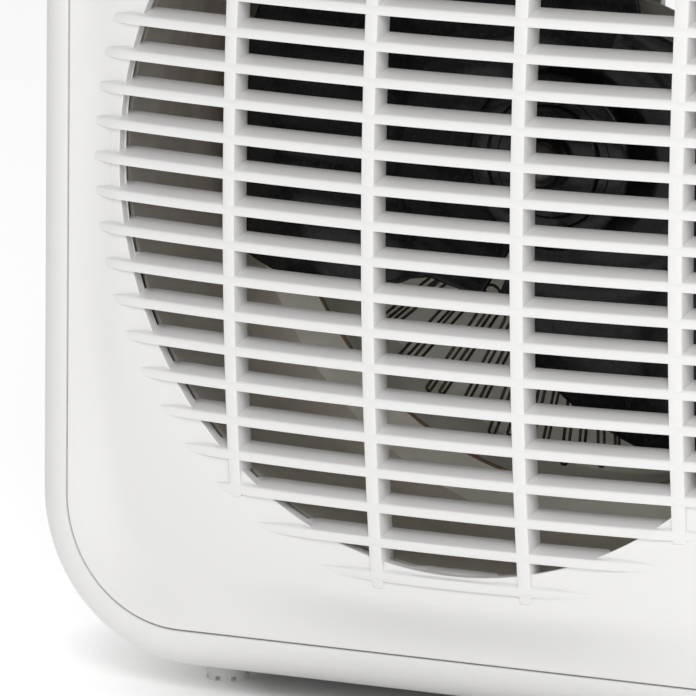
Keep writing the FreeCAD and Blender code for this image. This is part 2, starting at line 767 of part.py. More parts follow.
def feet():
    """Four round feet, each with a flange and a notched lower boss."""
    shapes = []
    for x, depth in foot_places():
        flange = post(foot_radius, base_z - foot_flange, base_z, x, depth)
        boss = post(foot_radius - 1.4, 0.0, base_z - foot_flange, x, depth)
        foot = joined([flange, boss])
        for turn in (0, 45, 90, 135):
            notch = Part.makeBox(2 * foot_radius, 1.2, 1.6, Vec(x - foot_radius, at(depth) - 0.6, -overrun / 2))
            foot = foot.cut(notch.rotate(Vec(x, at(depth), 0), UP, turn))
        shapes.append(foot.cut(post(3.2, -1, 2.4, x, depth)).cut(post(1.4, -1, 2 * base_z, x, depth)))
    return Part.makeCompound(shapes)


def foot_screws():
    return screws([Vec(x, at(depth), 2.4) for x, depth in foot_places()], UP, 11.0, 1.3, 2.9, 1.6)


def plunger_flange():
    """Underside of the flange on the plunger when the heater stands on its feet."""
    return base_z + wall + plunger_travel + 0.5


def tipover_plunger():
    """Plunger that drops out of the base when the heater is lifted or falls over."""
    x, depth = tip_switch_side, tip_switch_depth
    stem = post(plunger_radius, 0.0, plunger_flange() + 9.0, x, depth)
    flange = post(plunger_radius + 2.2, plunger_flange(), plunger_flange() + 1.5, x, depth)
    return joined([stem, flange])


def tip_switch_floor():
    return plunger_flange() + 1.5 + 9.0


def tipover_switch():
    """Switch housing over the plunger, with a hole that guides it and two legs to the floor."""
    x, depth = tip_switch_side, tip_switch_depth
    low = tip_switch_floor()
    y = at(depth)
    body = Part.makeBox(22.0, 14.0, 16.0, Vec(x - 11.0, y - 7.0, low))
    legs = [Part.makeBox(3.0, 14.0, low - base_z - wall, Vec(x + side, y - 7.0, base_z + wall))
            for side in (-11.0, 8.0)]
    tabs = [Part.makeBox(0.8, 6.0, 7.0, Vec(x + side, y - 3.0, low + 16.0)) for side in (-6.0, 5.2)]
    bore = post(plunger_radius + 0.05, low - 1, low + 8.0, x, depth)
    return joined([body] + legs + tabs).cut(bore)


def tipover_spring():
    """Plain sleeve in the place of the spring between the plunger's flange and the switch housing."""
    x, depth = tip_switch_side, tip_switch_depth
    low = plunger_flange() + 1.5
    inner = plunger_radius + spring_gap
    high = tip_switch_floor()
    return post(inner + spring_wire, low, high, x, depth).cut(post(inner, low - 1, high + 1, x, depth))


def cord_gland():
    """Flanged inlet in the rear cover for the supply cord."""
    x, z = gland_place()
    inner_face = case_depth - wall
    collar = rod(gland_radius + 3.0, inner_face - 3.0, inner_face, x, z)
    neck = rod(gland_radius, inner_face - 3.0, case_depth, x, z)
    return joined([collar, neck]).cut(rod(3.6, 0, 2 * case_depth, x, z))


def terminal_block():
    """Row of terminals on the floor of the case."""
    x, y, z = -half_width + 50.0, at(control_depth + 8.0), base_z + wall
    body = Part.makeBox(14.0, 34.0, 9.0, Vec(x - 7.0, y - 17.0, z))
    towers = [Part.makeBox(10.0, 8.0, 5.0, Vec(x - 5.0, y - 15.5 + 11.5 * k, z + 9.0)) for k in range(3)]
    holes = [Part.makeCylinder(1.8, 6.0, Vec(x, y - 11.5 + 11.5 * k, z + 9.0), UP) for k in range(3)]
    return cut_all(joined([body] + towers), holes)


def grille_screws():
    rear = skirt_end + wall
    return screws([Vec(x, at(rear), z) for x, z in grille_screw_places()], Vec(0, -1, 0), wall + 5.0)


def rear_cover_screws():
    front = joint_depth + 4.0
    return screws([Vec(x, at(front), z) for x, z in cover_screw_places()], Vec(0, -1, 0), 14.0)


def duct_screws():
    rear = skirt_end + wall + sheet
    return screws([Vec(x, at(rear), z) for x, z in duct_tab_places()], Vec(0, -1, 0), wall + sheet)


def element_screws():
    rear = flange_depth + sheet
    return screws([Vec(x, at(rear), z) for x, z in flange_screw_places()], Vec(0, -1, 0), 2 * sheet + 2.5, 1.7, 2.9)


def main():
    os.makedirs(parts_folder, exist_ok=True)
    left, right = knob_places()
    save("front_grille", front_grille())
    save("case_body", case_body())
    save("rear_cover", rear_cover())
    save("duct_ring", duct_ring())
    save("fan_shroud", fan_shroud())
    save("mica_spokes", mica_spokes())
    save("element_hub", element_hub())
    save("heating_wire_front", heating_wire(0))
    save("heating_wire_rear", heating_wire(1))
    save("thermal_cutout", thermal_cutout())
    save("thermal_fuse", thermal_fuse())
    save("fan_impeller", fan_impeller())
    save("fan_nut", fan_nut())
    save("motor_shaft", motor_shaft())
    save("motor_rotor", motor_rotor())
    save("stator_core", stator_core())
    save("winding_bobbin", winding_bobbin())
    save("stator_winding", stator_winding())
    save("front_bearing_bracket", bearing_bracket(motor_front, 1))
    save("rear_bearing_bracket", bearing_bracket(motor_rear - bracket_plate, -1))
    save("front_bearing_bush", bearing_bush(motor_front))
    save("rear_bearing_bush", bearing_bush(motor_rear - bush_length + 0.5))
    save("motor_plate", motor_plate())
    save("motor_screws", motor_screws())
    save("control_panel", control_panel())
    save("selector_knob", control_knob(left))
    save("thermostat_knob", control_knob(right))
    save("selector_switch", selector_switch())
    save("selector_spindle", spindle(left, 13.0))
    save("thermostat_frame", thermostat_frame())
    save("thermostat_spindle", spindle(right, 10.0))
    save("thermostat_blade", thermostat_blade())
    save("pilot_lens", pilot_lens())
    save("pilot_lamp", pilot_lamp())
    save("feet", feet())
    save("foot_screws", foot_screws())
    save("tipover_plunger", tipover_plunger())
    save("tipover_switch", tipover_switch())
    save("tipover_spring", tipover_spring())
    save("cord_gland", cord_gland())
    save("terminal_block", terminal_block())
    save("grille_screws", grille_screws())
    save("rear_cover_screws", rear_cover_screws())
    save("duct_screws", duct_screws())
    save("element_screws", element_screws())


main()
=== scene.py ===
"""Box fan heater: finished surfaces modelled round its packed mechanical frame."""
import json
import math
import random

import bpy
from mathutils import Matrix, Vector


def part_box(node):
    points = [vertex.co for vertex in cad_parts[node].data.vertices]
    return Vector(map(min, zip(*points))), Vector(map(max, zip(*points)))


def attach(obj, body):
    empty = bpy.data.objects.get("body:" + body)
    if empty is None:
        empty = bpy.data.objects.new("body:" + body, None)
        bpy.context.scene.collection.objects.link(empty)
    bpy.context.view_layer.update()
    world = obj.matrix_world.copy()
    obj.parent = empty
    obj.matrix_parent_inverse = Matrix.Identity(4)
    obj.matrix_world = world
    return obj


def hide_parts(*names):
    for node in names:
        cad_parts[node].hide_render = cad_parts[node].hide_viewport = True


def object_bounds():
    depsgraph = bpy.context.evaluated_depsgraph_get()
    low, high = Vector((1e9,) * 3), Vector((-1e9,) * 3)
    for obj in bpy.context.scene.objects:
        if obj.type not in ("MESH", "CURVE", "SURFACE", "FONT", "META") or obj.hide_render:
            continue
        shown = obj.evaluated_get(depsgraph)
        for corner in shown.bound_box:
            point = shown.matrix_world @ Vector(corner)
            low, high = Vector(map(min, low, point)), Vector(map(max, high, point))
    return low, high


bl_info = {
    "name": "Box Fan Heater",
    "version": (1, 0, 0),
    "blender": (4, 5, 0),
    "location": "View3D > Sidebar > Heater",
    "description": "Models and finishes a box fan heater round its mechanical frame",
    "category": "Object",
}

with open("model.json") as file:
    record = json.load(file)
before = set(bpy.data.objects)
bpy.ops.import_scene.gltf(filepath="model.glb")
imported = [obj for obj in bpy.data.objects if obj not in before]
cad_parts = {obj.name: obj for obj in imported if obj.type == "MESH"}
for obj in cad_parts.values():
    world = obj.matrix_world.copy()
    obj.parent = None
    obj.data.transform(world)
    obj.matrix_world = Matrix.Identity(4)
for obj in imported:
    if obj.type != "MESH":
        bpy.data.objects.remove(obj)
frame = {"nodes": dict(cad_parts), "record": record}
CAD_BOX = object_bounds()

MM = 0.001
CASE_LOW, CASE_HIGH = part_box("case_body")
REAR_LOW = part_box("rear_cover")[0]
SHROUD_LOW, SHROUD_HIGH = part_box("fan_shroud")
FAN_LOW, FAN_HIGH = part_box("fan_impeller")
CENTRE_Z = (SHROUD_LOW.z + SHROUD_HIGH.z) / 2
FRONT_Y = CAD_BOX[0][1]


# ---- sizes and colours that a user would change ----

class CaseSizes(bpy.types.PropertyGroup):
    """Sizes of the moulded case."""
    wall: bpy.props.FloatProperty(
        name="Wall", description="Thickness of the moulded walls", default=0.0024, unit="LENGTH")
    corner: bpy.props.FloatProperty(
        name="Corner radius", description="Outer corners seen from the front", default=0.0376, unit="LENGTH")
    rim: bpy.props.FloatProperty(
        name="Rim radius", description="Rounded front edge", default=0.0091, unit="LENGTH")
    seam: bpy.props.FloatProperty(
        name="Seam", description="Gap between the rim and the grille panel", default=0.0003, unit="LENGTH")


class GrilleSizes(bpy.types.PropertyGroup):
    """Sizes of the front grille."""
    opening: bpy.props.FloatProperty(
        name="Opening radius", description="Round opening behind the slats", default=0.085, unit="LENGTH")
    bow_across: bpy.props.FloatProperty(
        name="Bow across", description="Crown of the panel from side to side, 1/m", default=1.40)
    bow_upright: bpy.props.FloatProperty(
        name="Bow upright", description="Crown of the panel from bottom to top, 1/m", default=0.83)
    edge_blend: bpy.props.FloatProperty(
        name="Edge blend", description="Width over which the crown runs into the flat edge",
        default=0.015, unit="LENGTH")
    dish: bpy.props.FloatProperty(
        name="Dish", description="How far the panel dips at the opening", default=0.0010, unit="LENGTH")
    dish_width: bpy.props.FloatProperty(
        name="Dish width", description="Width of the dip round the opening", default=0.013, unit="LENGTH")
    slat_pitch: bpy.props.FloatProperty(
        name="Slat pitch", description="Distance from slat to slat", default=0.00782, unit="LENGTH")
    slat_height: bpy.props.FloatProperty(
        name="Slat height", description="Front face of a slat", default=0.0023, unit="LENGTH")
    slat_depth: bpy.props.FloatProperty(
        name="Slat depth", description="Front to rear of a slat", default=0.0062, unit="LENGTH")
    slat_rise: bpy.props.FloatProperty(
        name="Slat rise", description="How much a slat climbs towards the rear", default=0.0016, unit="LENGTH")
    slat_drop: bpy.props.FloatProperty(
        name="Slat drop", description="Middle slat below the centre of the opening", default=0.0009, unit="LENGTH")
    rib_pitch: bpy.props.FloatProperty(
        name="Rib pitch", description="Distance between the upright ribs", default=0.036, unit="LENGTH")
    rib_width: bpy.props.FloatProperty(
        name="Rib width", description="Front face of a rib", default=0.0032, unit="LENGTH")


class ElementSizes(bpy.types.PropertyGroup):
    """Sizes of the zigzag wire element."""
    legs: bpy.props.IntProperty(name="Legs", description="Legs of wire in a full turn", default=96, min=12)
    gap_legs: bpy.props.IntProperty(name="Gap", description="Legs left out at the top", default=4, min=0)
    inner: bpy.props.FloatProperty(
        name="Inner radius", description="Inner bends of the wire", default=0.0442, unit="LENGTH")
    outer: bpy.props.FloatProperty(
        name="Outer radius", description="Outer bends of the wire", default=0.0722, unit="LENGTH")
    thickness: bpy.props.FloatProperty(
        name="Wire", description="Thickness of the wire", default=0.0007, unit="LENGTH")
    stagger: bpy.props.FloatProperty(
        name="Stagger", description="Turn of the rear layer against the front one, in legs", default=0.28)


class FanSizes(bpy.types.PropertyGroup):
    """Sizes of the fan."""
    blades: bpy.props.IntProperty(name="Blades", description="Number of broad blades", default=2, min=2)
    thickness: bpy.props.FloatProperty(
        name="Blade", description="Thickness of a blade", default=0.0018, unit="LENGTH")
    pitch: bpy.props.FloatProperty(
        name="Pitch", description="Tilt of a blade", default=math.radians(6.5), subtype="ANGLE")
    camber: bpy.props.FloatProperty(
        name="Camber", description="Bow of a blade across its breadth", default=0.002, unit="LENGTH")


class FinishColours(bpy.types.PropertyGroup):
    """Colours of the main finishes."""
    shell: bpy.props.FloatVectorProperty(
        name="Shell", description="White moulded shell", subtype="COLOR", size=3, default=(0.70, 0.695, 0.685))
    duct: bpy.props.FloatVectorProperty(
        name="Duct", description="Bright sheet metal of the air duct", subtype="COLOR", size=3,
        default=(0.86, 0.80, 0.72))
    fan: bpy.props.FloatVectorProperty(
        name="Fan", description="Glossy black fan", subtype="COLOR", size=3, default=(0.005, 0.005, 0.006))
    wire: bpy.props.FloatVectorProperty(
        name="Wire", description="Oxidised resistance wire", subtype="COLOR", size=3, default=(0.06, 0.052, 0.045))


SETTINGS = {"heater_case": CaseSizes, "heater_grille": GrilleSizes, "heater_element": ElementSizes,
            "heater_fan": FanSizes, "heater_colours": FinishColours}


def case_sizes():
    return bpy.context.scene.heater_case


def grille_sizes():
    return bpy.context.scene.heater_grille


# ---- shader sheets ----

class Wire:
    """A shader socket that takes part in Python sums."""

    def __init__(self, sheet, socket):
        self.sheet = sheet
        self.socket = socket

    def maths(self, operation, first, second=None):
        values = {0: first} if second is None else {0: first, 1: second}
        return self.sheet.add("ShaderNodeMath", {"operation": operation}, values)

    def __add__(self, other):
        return self.maths("ADD", self, other)

    __radd__ = __add__

    def __mul__(self, other):
        return self.maths("MULTIPLY", self, other)

    __rmul__ = __mul__

    def __sub__(self, other):
        return self.maths("SUBTRACT", self, other)

    def __rsub__(self, other):
        return self.maths("SUBTRACT", other, self)


class Sheet:
    """One material and the nodes that make it."""

    def __init__(self, name):
        self.material = bpy.data.materials.new(name)
        self.material.use_nodes = True
        self.tree = self.material.node_tree
        self.tree.nodes.clear()

    def put(self, socket, value):
        if isinstance(value, Wire):
            self.tree.links.new(value.socket, socket)
        elif hasattr(socket.default_value, "__len__") and len(socket.default_value) == 4 and len(value) == 3:
            socket.default_value = (*value, 1.0)
        else:
            socket.default_value = value

    def add(self, kind, settings=None, values=None, output=0):
        """Add a node: its settings first, then the values or links of its sockets."""
        node = self.tree.nodes.new(kind)
        for key, value in (settings or {}).items():
            if key == "stops":
                ramp = node.color_ramp
                while len(ramp.elements) < len(value):
                    ramp.elements.new(0.5)
                for element, (place, colour) in zip(ramp.elements, value):
                    element.position = place
                    element.color = (*colour, 1.0) if hasattr(colour, "__len__") else (colour, colour, colour, 1.0)
            else:
                setattr(node, key, value)
        for key, value in (values or {}).items():
            self.put(node.inputs[key], value)
        return Wire(self, node.outputs[output])

    def place(self, scale=(1, 1, 1), turn=(0, 0, 0)):
        """Object coordinates, scaled and turned."""
        point = self.add("ShaderNodeTexCoord", output="Object")
        return self.add("ShaderNodeMapping", None, {"Vector": point, "Scale": scale, "Rotation": turn})

    def noise(self, point, scale, detail=3.0, roughness=0.5):
        return self.add("ShaderNodeTexNoise", None,
                        {"Vector": point, "Scale": scale, "Detail": detail, "Roughness": roughness})

    def blend(self, share, first, second):
        """Colour between two colours."""
        return self.add("ShaderNodeMix", {"data_type": "RGBA"}, {0: share, 6: first, 7: second}, output=2)

    def between(self, value, low, high, out_low, out_high):
        return self.add("ShaderNodeMapRange", None, {
            "Value": value, "From Min": low, "From Max": high, "To Min": out_low, "To Max": out_high})

    def bump(self, height, distance, strength=1.0):
        return self.add("ShaderNodeBump", None, {"Height": height, "Distance": distance, "Strength": strength})

    def sine(self, value):
        """Sine of a value, from -1 to 1."""
        return self.add("ShaderNodeMath", {"operation": "SINE"}, {0: value})

    def surface(self, **values):
        """Finish the sheet with one Principled shader."""
        names = {key: key.replace("_", " ").title().replace("Ior", "IOR") for key in values}
        shader = self.add("ShaderNodeBsdfPrincipled", None, {names[key]: value for key, value in values.items()})
        output = self.tree.nodes.new("ShaderNodeOutputMaterial")
        self.tree.links.new(shader.socket, output.inputs["Surface"])
        return self.material


def moulded_plastic(name, colour, roughness=0.36, grain=0.00002, speck=0.02):
    """Injection-moulded plastic with a fine spark-eroded grain and faint flow clouds."""
    sheet = Sheet(name)
    point = sheet.place()
    cloud = sheet.noise(point, 14.0, 2.0)
    fine = sheet.noise(point, 2600.0, 2.0)
    darker = [channel * (1 - speck) for channel in colour]
    lighter = [min(channel * (1 + speck), 1.0) for channel in colour]
    smudge = sheet.noise(point, 45.0, 4.0)
    return sheet.surface(
        base_color=sheet.blend(cloud, darker, lighter),
        roughness=sheet.between(smudge, 0.3, 0.7, roughness - 0.05, roughness + 0.06),
        normal=sheet.bump(fine, grain), specular_ior_level=0.45)


def rolled_sheet(name, colour, shade_depths=None):
    """Bright rolled sheet metal: fine rolling lines, clouded oxide and a few rubbed patches; with shade depths given,
    painted shade browns it deeper in and towards the top.
    """
    sheet = Sheet(name)
    lines = sheet.noise(sheet.place((6.0, 900.0, 6.0)), 1.0, 3.0, 0.6)
    point = sheet.place()
    cloud = sheet.noise(point, 22.0, 4.0, 0.55)
    mottle = sheet.noise(point, 90.0, 3.0, 0.6)
    dull = [channel * 0.80 for channel in colour]
    tone = sheet.blend(sheet.between(cloud, 0.35, 0.65, 0.0, 1.0), dull, colour)
    # painted shade: the sheet turns dark brown between the two shade depths, with a ragged edge, and more so towards
    # the top
    if shade_depths:
        depth = sheet.add("ShaderNodeSeparateXYZ", None, {"Vector": point}, output="Y")
        height = sheet.add("ShaderNodeSeparateXYZ", None, {"Vector": point}, output="Z")
        band = sheet.noise(sheet.place((4.0, 120.0, 4.0)), 1.0, 2.0)
        share = sheet.between(depth + (band - 0.5) * 0.03, shade_depths[0], shade_depths[1], 0.0, 1.0)
        brown = [channel * shade for channel, shade in zip(colour, (0.24, 0.19, 0.16))]
        tone = sheet.blend(share * sheet.between(height, CENTRE_Z - 0.05, CENTRE_Z + 0.015, 0.1, 0.95), tone, brown)
    return sheet.surface(
        base_color=tone, metallic=sheet.between(cloud, 0.3, 0.7, 0.30, 0.45),
        roughness=sheet.between(mottle * 0.5 + lines * 0.5, 0.3, 0.7, 0.34, 0.56),
        normal=sheet.bump(lines * 0.6 + mottle * 0.4, 0.00006))


def plated_steel(name, colour=(0.62, 0.62, 0.64), roughness=0.3):
    """Zinc-plated steel with spangle and fine scratches."""
    sheet = Sheet(name)
    point = sheet.place()
    spangle = sheet.add("ShaderNodeTexVoronoi", None, {"Vector": point, "Scale": 900.0}, output="Color")
    grey = sheet.add("ShaderNodeSeparateColor", None, {"Color": spangle})
    dull = [channel * 0.86 for channel in colour]
    scratch = sheet.noise(sheet.place((80.0, 2400.0, 80.0)), 1.0, 2.0)
    return sheet.surface(
        base_color=sheet.blend(grey, dull, colour), metallic=1.0,
        roughness=sheet.between(scratch, 0.3, 0.7, roughness - 0.06, roughness + 0.1),
        normal=sheet.bump(scratch, 0.00001))


def glossy_black(name, colour, roughness=0.12, gloss=0.22, coat=0.06):
    """Polished black moulding with soft ripples and a little settled dust."""
    sheet = Sheet(name)
    point = sheet.place()
    ripple = sheet.noise(point, 60.0, 2.0)
    dust = sheet.noise(point, 700.0, 4.0, 0.7)
    dusty = [channel + 0.012 for channel in colour]
    return sheet.surface(
        base_color=sheet.blend(sheet.between(dust, 0.55, 0.75, 0.0, 1.0), colour, dusty),
        roughness=sheet.between(dust, 0.4, 0.8, roughness, roughness + 0.16),
        specular_ior_level=gloss, coat_weight=coat, coat_roughness=0.05, normal=sheet.bump(ripple, 0.00012))


def oxidised_wire(name, colour):
    """Resistance wire, dark with heat scale and a dull metal glint."""
    sheet = Sheet(name)
    point = sheet.place()
    scale = sheet.noise(point, 1800.0, 3.0, 0.6)
    tint = sheet.noise(point, 120.0, 2.0)
    warm = (colour[0] * 2.2, colour[1] * 1.7, colour[2] * 1.5)
    return sheet.surface(
        base_color=sheet.blend(sheet.between(tint, 0.4, 0.7, 0.0, 1.0), colour, warm),
        metallic=0.75, roughness=sheet.between(scale, 0.3, 0.7, 0.34, 0.6),
        normal=sheet.bump(scale, 0.00004))


def mica_board(name):
    """Pressed mica: silvery-brown flakes in thin layers."""
    sheet = Sheet(name)
    point = sheet.place()
    flakes = sheet.add("ShaderNodeTexVoronoi", None, {"Vector": point, "Scale": 420.0}, output="Color")
    share = sheet.add("ShaderNodeSeparateColor", None, {"Color": flakes})
    cloud = sheet.noise(point, 60.0, 4.0)
    tone = sheet.blend(share, (0.34, 0.26, 0.17), (0.56, 0.47, 0.34))
    return sheet.surface(
        base_color=sheet.blend(cloud * 0.6, tone, (0.62, 0.56, 0.46)),
        roughness=sheet.between(share, 0.0, 1.0, 0.28, 0.55), normal=sheet.bump(share, 0.00003))


def fired_ceramic(name, colour=(0.78, 0.75, 0.68)):
    """Unglazed steatite with fine pits."""
    sheet = Sheet(name)
    point = sheet.place()
    pits = sheet.noise(point, 1500.0, 3.0, 0.7)
    cloud = sheet.noise(point, 80.0, 2.0)
    dull = [channel * 0.88 for channel in colour]
    return sheet.surface(
        base_color=sheet.blend(cloud, dull, colour), roughness=sheet.between(pits, 0.3, 0.7, 0.5, 0.75),
        normal=sheet.bump(pits, 0.00004))


def stacked_laminations(name):
    """Punched steel laminations, seen as fine lines along the stack."""
    sheet = Sheet(name)
    point = sheet.add("ShaderNodeTexCoord", output="Object")
    split = sheet.add("ShaderNodeSeparateXYZ", None, {"Vector": point}, output="Y")
    wave = sheet.sine(split * 12566.0)
    rust = sheet.noise(sheet.place(), 260.0, 4.0, 0.6)
    tone = sheet.blend(sheet.between(rust, 0.55, 0.75, 0.0, 1.0), (0.20, 0.20, 0.21), (0.23, 0.15, 0.10))
    return sheet.surface(
        base_color=tone, metallic=0.85, roughness=sheet.between(rust, 0.3, 0.7, 0.36, 0.6),
        normal=sheet.bump(wave, 0.00008))


def enamelled_winding(name):
    """Copper winding: turns of fine enamelled wire round the bobbin."""
    sheet = Sheet(name)
    point = sheet.add("ShaderNodeTexCoord", output="Object")
    split = sheet.add("ShaderNodeSeparateXYZ", None, {"Vector": point}, output="X")
    wobble = sheet.noise(sheet.place((40.0, 200.0, 200.0)), 1.0, 2.0)
    # painted shade: the colour darkens in the grooves between the turns
    wave = sheet.sine(split * 15700.0 + wobble * 6.0)
    return sheet.surface(
        base_color=sheet.blend(wave * 0.5 + 0.5, (0.20, 0.065, 0.022), (0.66, 0.27, 0.10)),
        metallic=0.8, roughness=sheet.between(wobble, 0.3, 0.7, 0.22, 0.4), coat_weight=0.5,
        normal=sheet.bump(wave, 0.00012))


def sintered_bronze(name):
    """Porous oil-soaked bronze."""
    sheet = Sheet(name)
    pits = sheet.noise(sheet.place(), 2400.0, 3.0, 0.7)
    return sheet.surface(
        base_color=sheet.blend(pits, (0.30, 0.17, 0.07), (0.55, 0.36, 0.17)), metallic=1.0,
        roughness=sheet.between(pits, 0.3, 0.7, 0.3, 0.55), normal=sheet.bump(pits, 0.00003))


def soft_rubber(name, colour):
    """Pale moulded rubber with a powdery surface."""
    sheet = Sheet(name)
    point = sheet.place()
    powder = sheet.noise(point, 900.0, 4.0, 0.7)
    cloud = sheet.noise(point, 70.0, 2.0)
    dull = [channel * 0.93 for channel in colour]
    return sheet.surface(
        base_color=sheet.blend(cloud, dull, colour), roughness=sheet.between(powder, 0.3, 0.7, 0.5, 0.72),
        normal=sheet.bump(powder, 0.00004), specular_ior_level=0.35)


def amber_lens(name):
    """Clear amber lens with moulded ripples."""
    sheet = Sheet(name)
    point = sheet.place()
    ripple = sheet.noise(point, 900.0, 2.0)
    depth = sheet.noise(point, 240.0, 2.0)
    return sheet.surface(
        base_color=sheet.blend(depth, (0.78, 0.16, 0.02), (0.95, 0.30, 0.05)),
        roughness=sheet.between(ripple, 0.3, 0.7, 0.06, 0.16), normal=sheet.bump(ripple, 0.00008),
        coat_weight=0.6, transmission_weight=0.35)


def lamp_glass(name):
    """Thin clear glass with a warm glow inside."""
    sheet = Sheet(name)
    cloud = sheet.noise(sheet.place(), 500.0, 2.0)
    return sheet.surface(
        base_color=sheet.blend(cloud, (0.75, 0.50, 0.36), (0.90, 0.72, 0.58)),
        roughness=sheet.between(cloud, 0.3, 0.7, 0.05, 0.14), coat_weight=0.5, transmission_weight=0.4)


def studio_floor(name):
    """White paper sweep that glows outside a circle round the heater: painted light, fading to no glow close to the
    heater.
    """
    sheet = Sheet(name)
    point = sheet.place()
    fibre = sheet.noise(point, 300.0, 3.0)
    apart = sheet.add("ShaderNodeVectorMath", {"operation": "LENGTH"}, {0: point}, output="Value")
    # painted light: the floor starts to glow 7 cm out and glows fully from 13 cm, with none close to the heater
    glow = sheet.between(apart, 0.07, 0.13, 0.0, 1.0)
    return sheet.surface(
        base_color=sheet.blend(fibre, (0.86, 0.86, 0.86), (0.89, 0.89, 0.89)), roughness=0.85,
        specular_ior_level=0.1, emission_color=sheet.blend(glow, (0.0, 0.0, 0.0), (1.0, 1.0, 1.0)),
        emission_strength=0.6)


FINISHES = {}


def mix_finishes():
    """Make every finish once."""
    colours = bpy.context.scene.heater_colours
    FINISHES.update({
        "shell": moulded_plastic("white_shell", tuple(colours.shell)),
        "knob": moulded_plastic("white_knob", (0.74, 0.74, 0.73), 0.30),
        "panel": moulded_plastic("grey_insert", (0.36, 0.37, 0.38), 0.34, 0.00003),
        "natural": moulded_plastic("natural_nylon", (0.66, 0.63, 0.54), 0.42),
        "mark": moulded_plastic("grey_mark", (0.16, 0.16, 0.17), 0.4),
        # the duct carries painted shade from 24 to 60 mm behind the front
        "duct": rolled_sheet("duct_sheet", tuple(colours.duct), (FRONT_Y + 0.024, FRONT_Y + 0.060)),
        # a lighter copy of the duct sheet: painted light on the shroud and motor plate, whose barrel lies in shade
        "plate": rolled_sheet("duct_sheet_painted_light", tuple(min(channel * 1.18, 0.93) for channel in colours.duct)),
        # dark brown lip: painted shade for the shadow line at the shroud ring's edge
        "lip_shade": rolled_sheet("lip_painted_shade", (0.26, 0.18, 0.11)),
        "steel": plated_steel("zinc_steel"),
        "black": glossy_black("black_fan", tuple(colours.fan)),
        "cap": glossy_black("black_cap", tuple(colours.fan), 0.16, 1.0, 0.8),
        "dark": moulded_plastic("black_housing", (0.03, 0.03, 0.032), 0.32),
        "wire": oxidised_wire("resistance_wire", tuple(colours.wire)),
        "mica": mica_board("mica"),
        "ceramic": fired_ceramic("steatite"),
        "stack": stacked_laminations("laminations"),
        "copper": enamelled_winding("winding"),
        "bronze": sintered_bronze("bush_bronze"),
        "rubber": soft_rubber("foot_rubber", (0.74, 0.74, 0.72)),
        "lens": amber_lens("amber_lens"),
        "glass": lamp_glass("lamp_glass"),
    })


# ---- bench tools: small steps of modelling by hand ----

def deselect():
    if bpy.context.object and bpy.context.object.mode != "OBJECT":
        bpy.ops.object.mode_set(mode="OBJECT")
    bpy.ops.object.select_all(action="DESELECT")


def only(obj):
    """Make one object the selected and active one."""
    deselect()
    obj.select_set(True)
    bpy.context.view_layer.objects.active = obj
    return obj


def settle(obj):
    """Put an object's place into its mesh."""
    only(obj)
    bpy.ops.object.transform_apply(location=True, rotation=True, scale=True)
    return obj


def new_box(low, high):
    """Cube primitive between two corners."""
    deselect()
    low, high = Vector(low), Vector(high)
    bpy.ops.mesh.primitive_cube_add(size=1, location=(low + high) / 2)
    bpy.context.object.scale = high - low
    return settle(bpy.context.object)


def new_post(radius, low, high, x, y, vertices=64, ends="NGON"):
    """Upright cylinder primitive."""
    deselect()
    bpy.ops.mesh.primitive_cylinder_add(
        vertices=vertices, radius=radius, depth=high - low, end_fill_type=ends, location=(x, y, (low + high) / 2))
    return settle(bpy.context.object)


def pick_edges(obj, test):
    """In edit mode, select only the edges whose two ends pass a test."""
    only(obj)
    mesh = obj.data
    mesh.vertices.foreach_set("select", [False] * len(mesh.vertices))
    mesh.polygons.foreach_set("select", [False] * len(mesh.polygons))
    points = mesh.vertices
    mesh.edges.foreach_set("select", [bool(test(points[e.vertices[0]].co, points[e.vertices[1]].co))
                                      for e in mesh.edges])
    bpy.ops.object.mode_set(mode="EDIT")
    bpy.ops.mesh.select_mode(type="EDGE")


def pick_faces(obj, test):
    """In edit mode, select only the faces whose centre and normal pass a test."""
    only(obj)
    mesh = obj.data
    mesh.vertices.foreach_set("select", [False] * len(mesh.vertices))
    mesh.edges.foreach_set("select", [False] * len(mesh.edges))
    mesh.polygons.foreach_set("select", [bool(test(p.center, p.normal)) for p in mesh.polygons])
    bpy.ops.object.mode_set(mode="EDIT")
    bpy.ops.mesh.select_mode(type="FACE")


def both_at(axis, value):
    """Test: both ends of an edge lie at one value of an axis."""
    return lambda a, b: abs(a[axis] - value) < 1e-6 and abs(b[axis] - value) < 1e-6


def leave_edit():
    bpy.ops.object.mode_set(mode="OBJECT")


def shape_points(obj, move):
    """Move every point of a mesh by a rule."""
    for vertex in obj.data.vertices:
        vertex.co = move(vertex.co)
    obj.data.update()
    return obj


def apply_modifier(obj, kind, **settings):
    only(obj)
    modifier = obj.modifiers.new(kind.title(), kind)
    for key, value in settings.items():
        setattr(modifier, key, value)
    bpy.ops.object.modifier_apply(modifier=modifier.name)
    return obj


def rounded(obj, width, segments=2, angle=35.0):
    """Bevel the edges that are sharper than an angle."""
    return apply_modifier(obj, "BEVEL", width=width, segments=segments, limit_method="ANGLE",
                          angle_limit=math.radians(angle), harden_normals=False)


def outwards(obj):
    """Merge doubles and turn every face outwards."""
    only(obj)
    bpy.ops.object.mode_set(mode="EDIT")
    bpy.ops.mesh.select_all(action="SELECT")
    bpy.ops.mesh.remove_doubles(threshold=1e-6)
    bpy.ops.mesh.normals_make_consistent(inside=False)
    leave_edit()
    return obj


def joined(pieces):
    """Join objects into the first one."""
    deselect()
    for piece in pieces:
        piece.select_set(True)
    bpy.context.view_layer.objects.active = pieces[0]
    bpy.ops.object.join()
    return bpy.context.object


def copied(obj):
    """A copy with its own mesh."""
    twin = obj.copy()
    twin.data = obj.data.copy()
    bpy.context.collection.objects.link(twin)
    return twin


def turned(obj, angle, centre=None, axis="Y"):
    """Turn a mesh about an axis through a point; the fan axis unless a point is given."""
    middle = Vector((0, 0, CENTRE_Z)) if centre is None else Vector(centre)
    turn = Matrix.Translation(middle) @ Matrix.Rotation(angle, 4, axis) @ Matrix.Translation(-middle)
    obj.data.transform(turn)
    return obj


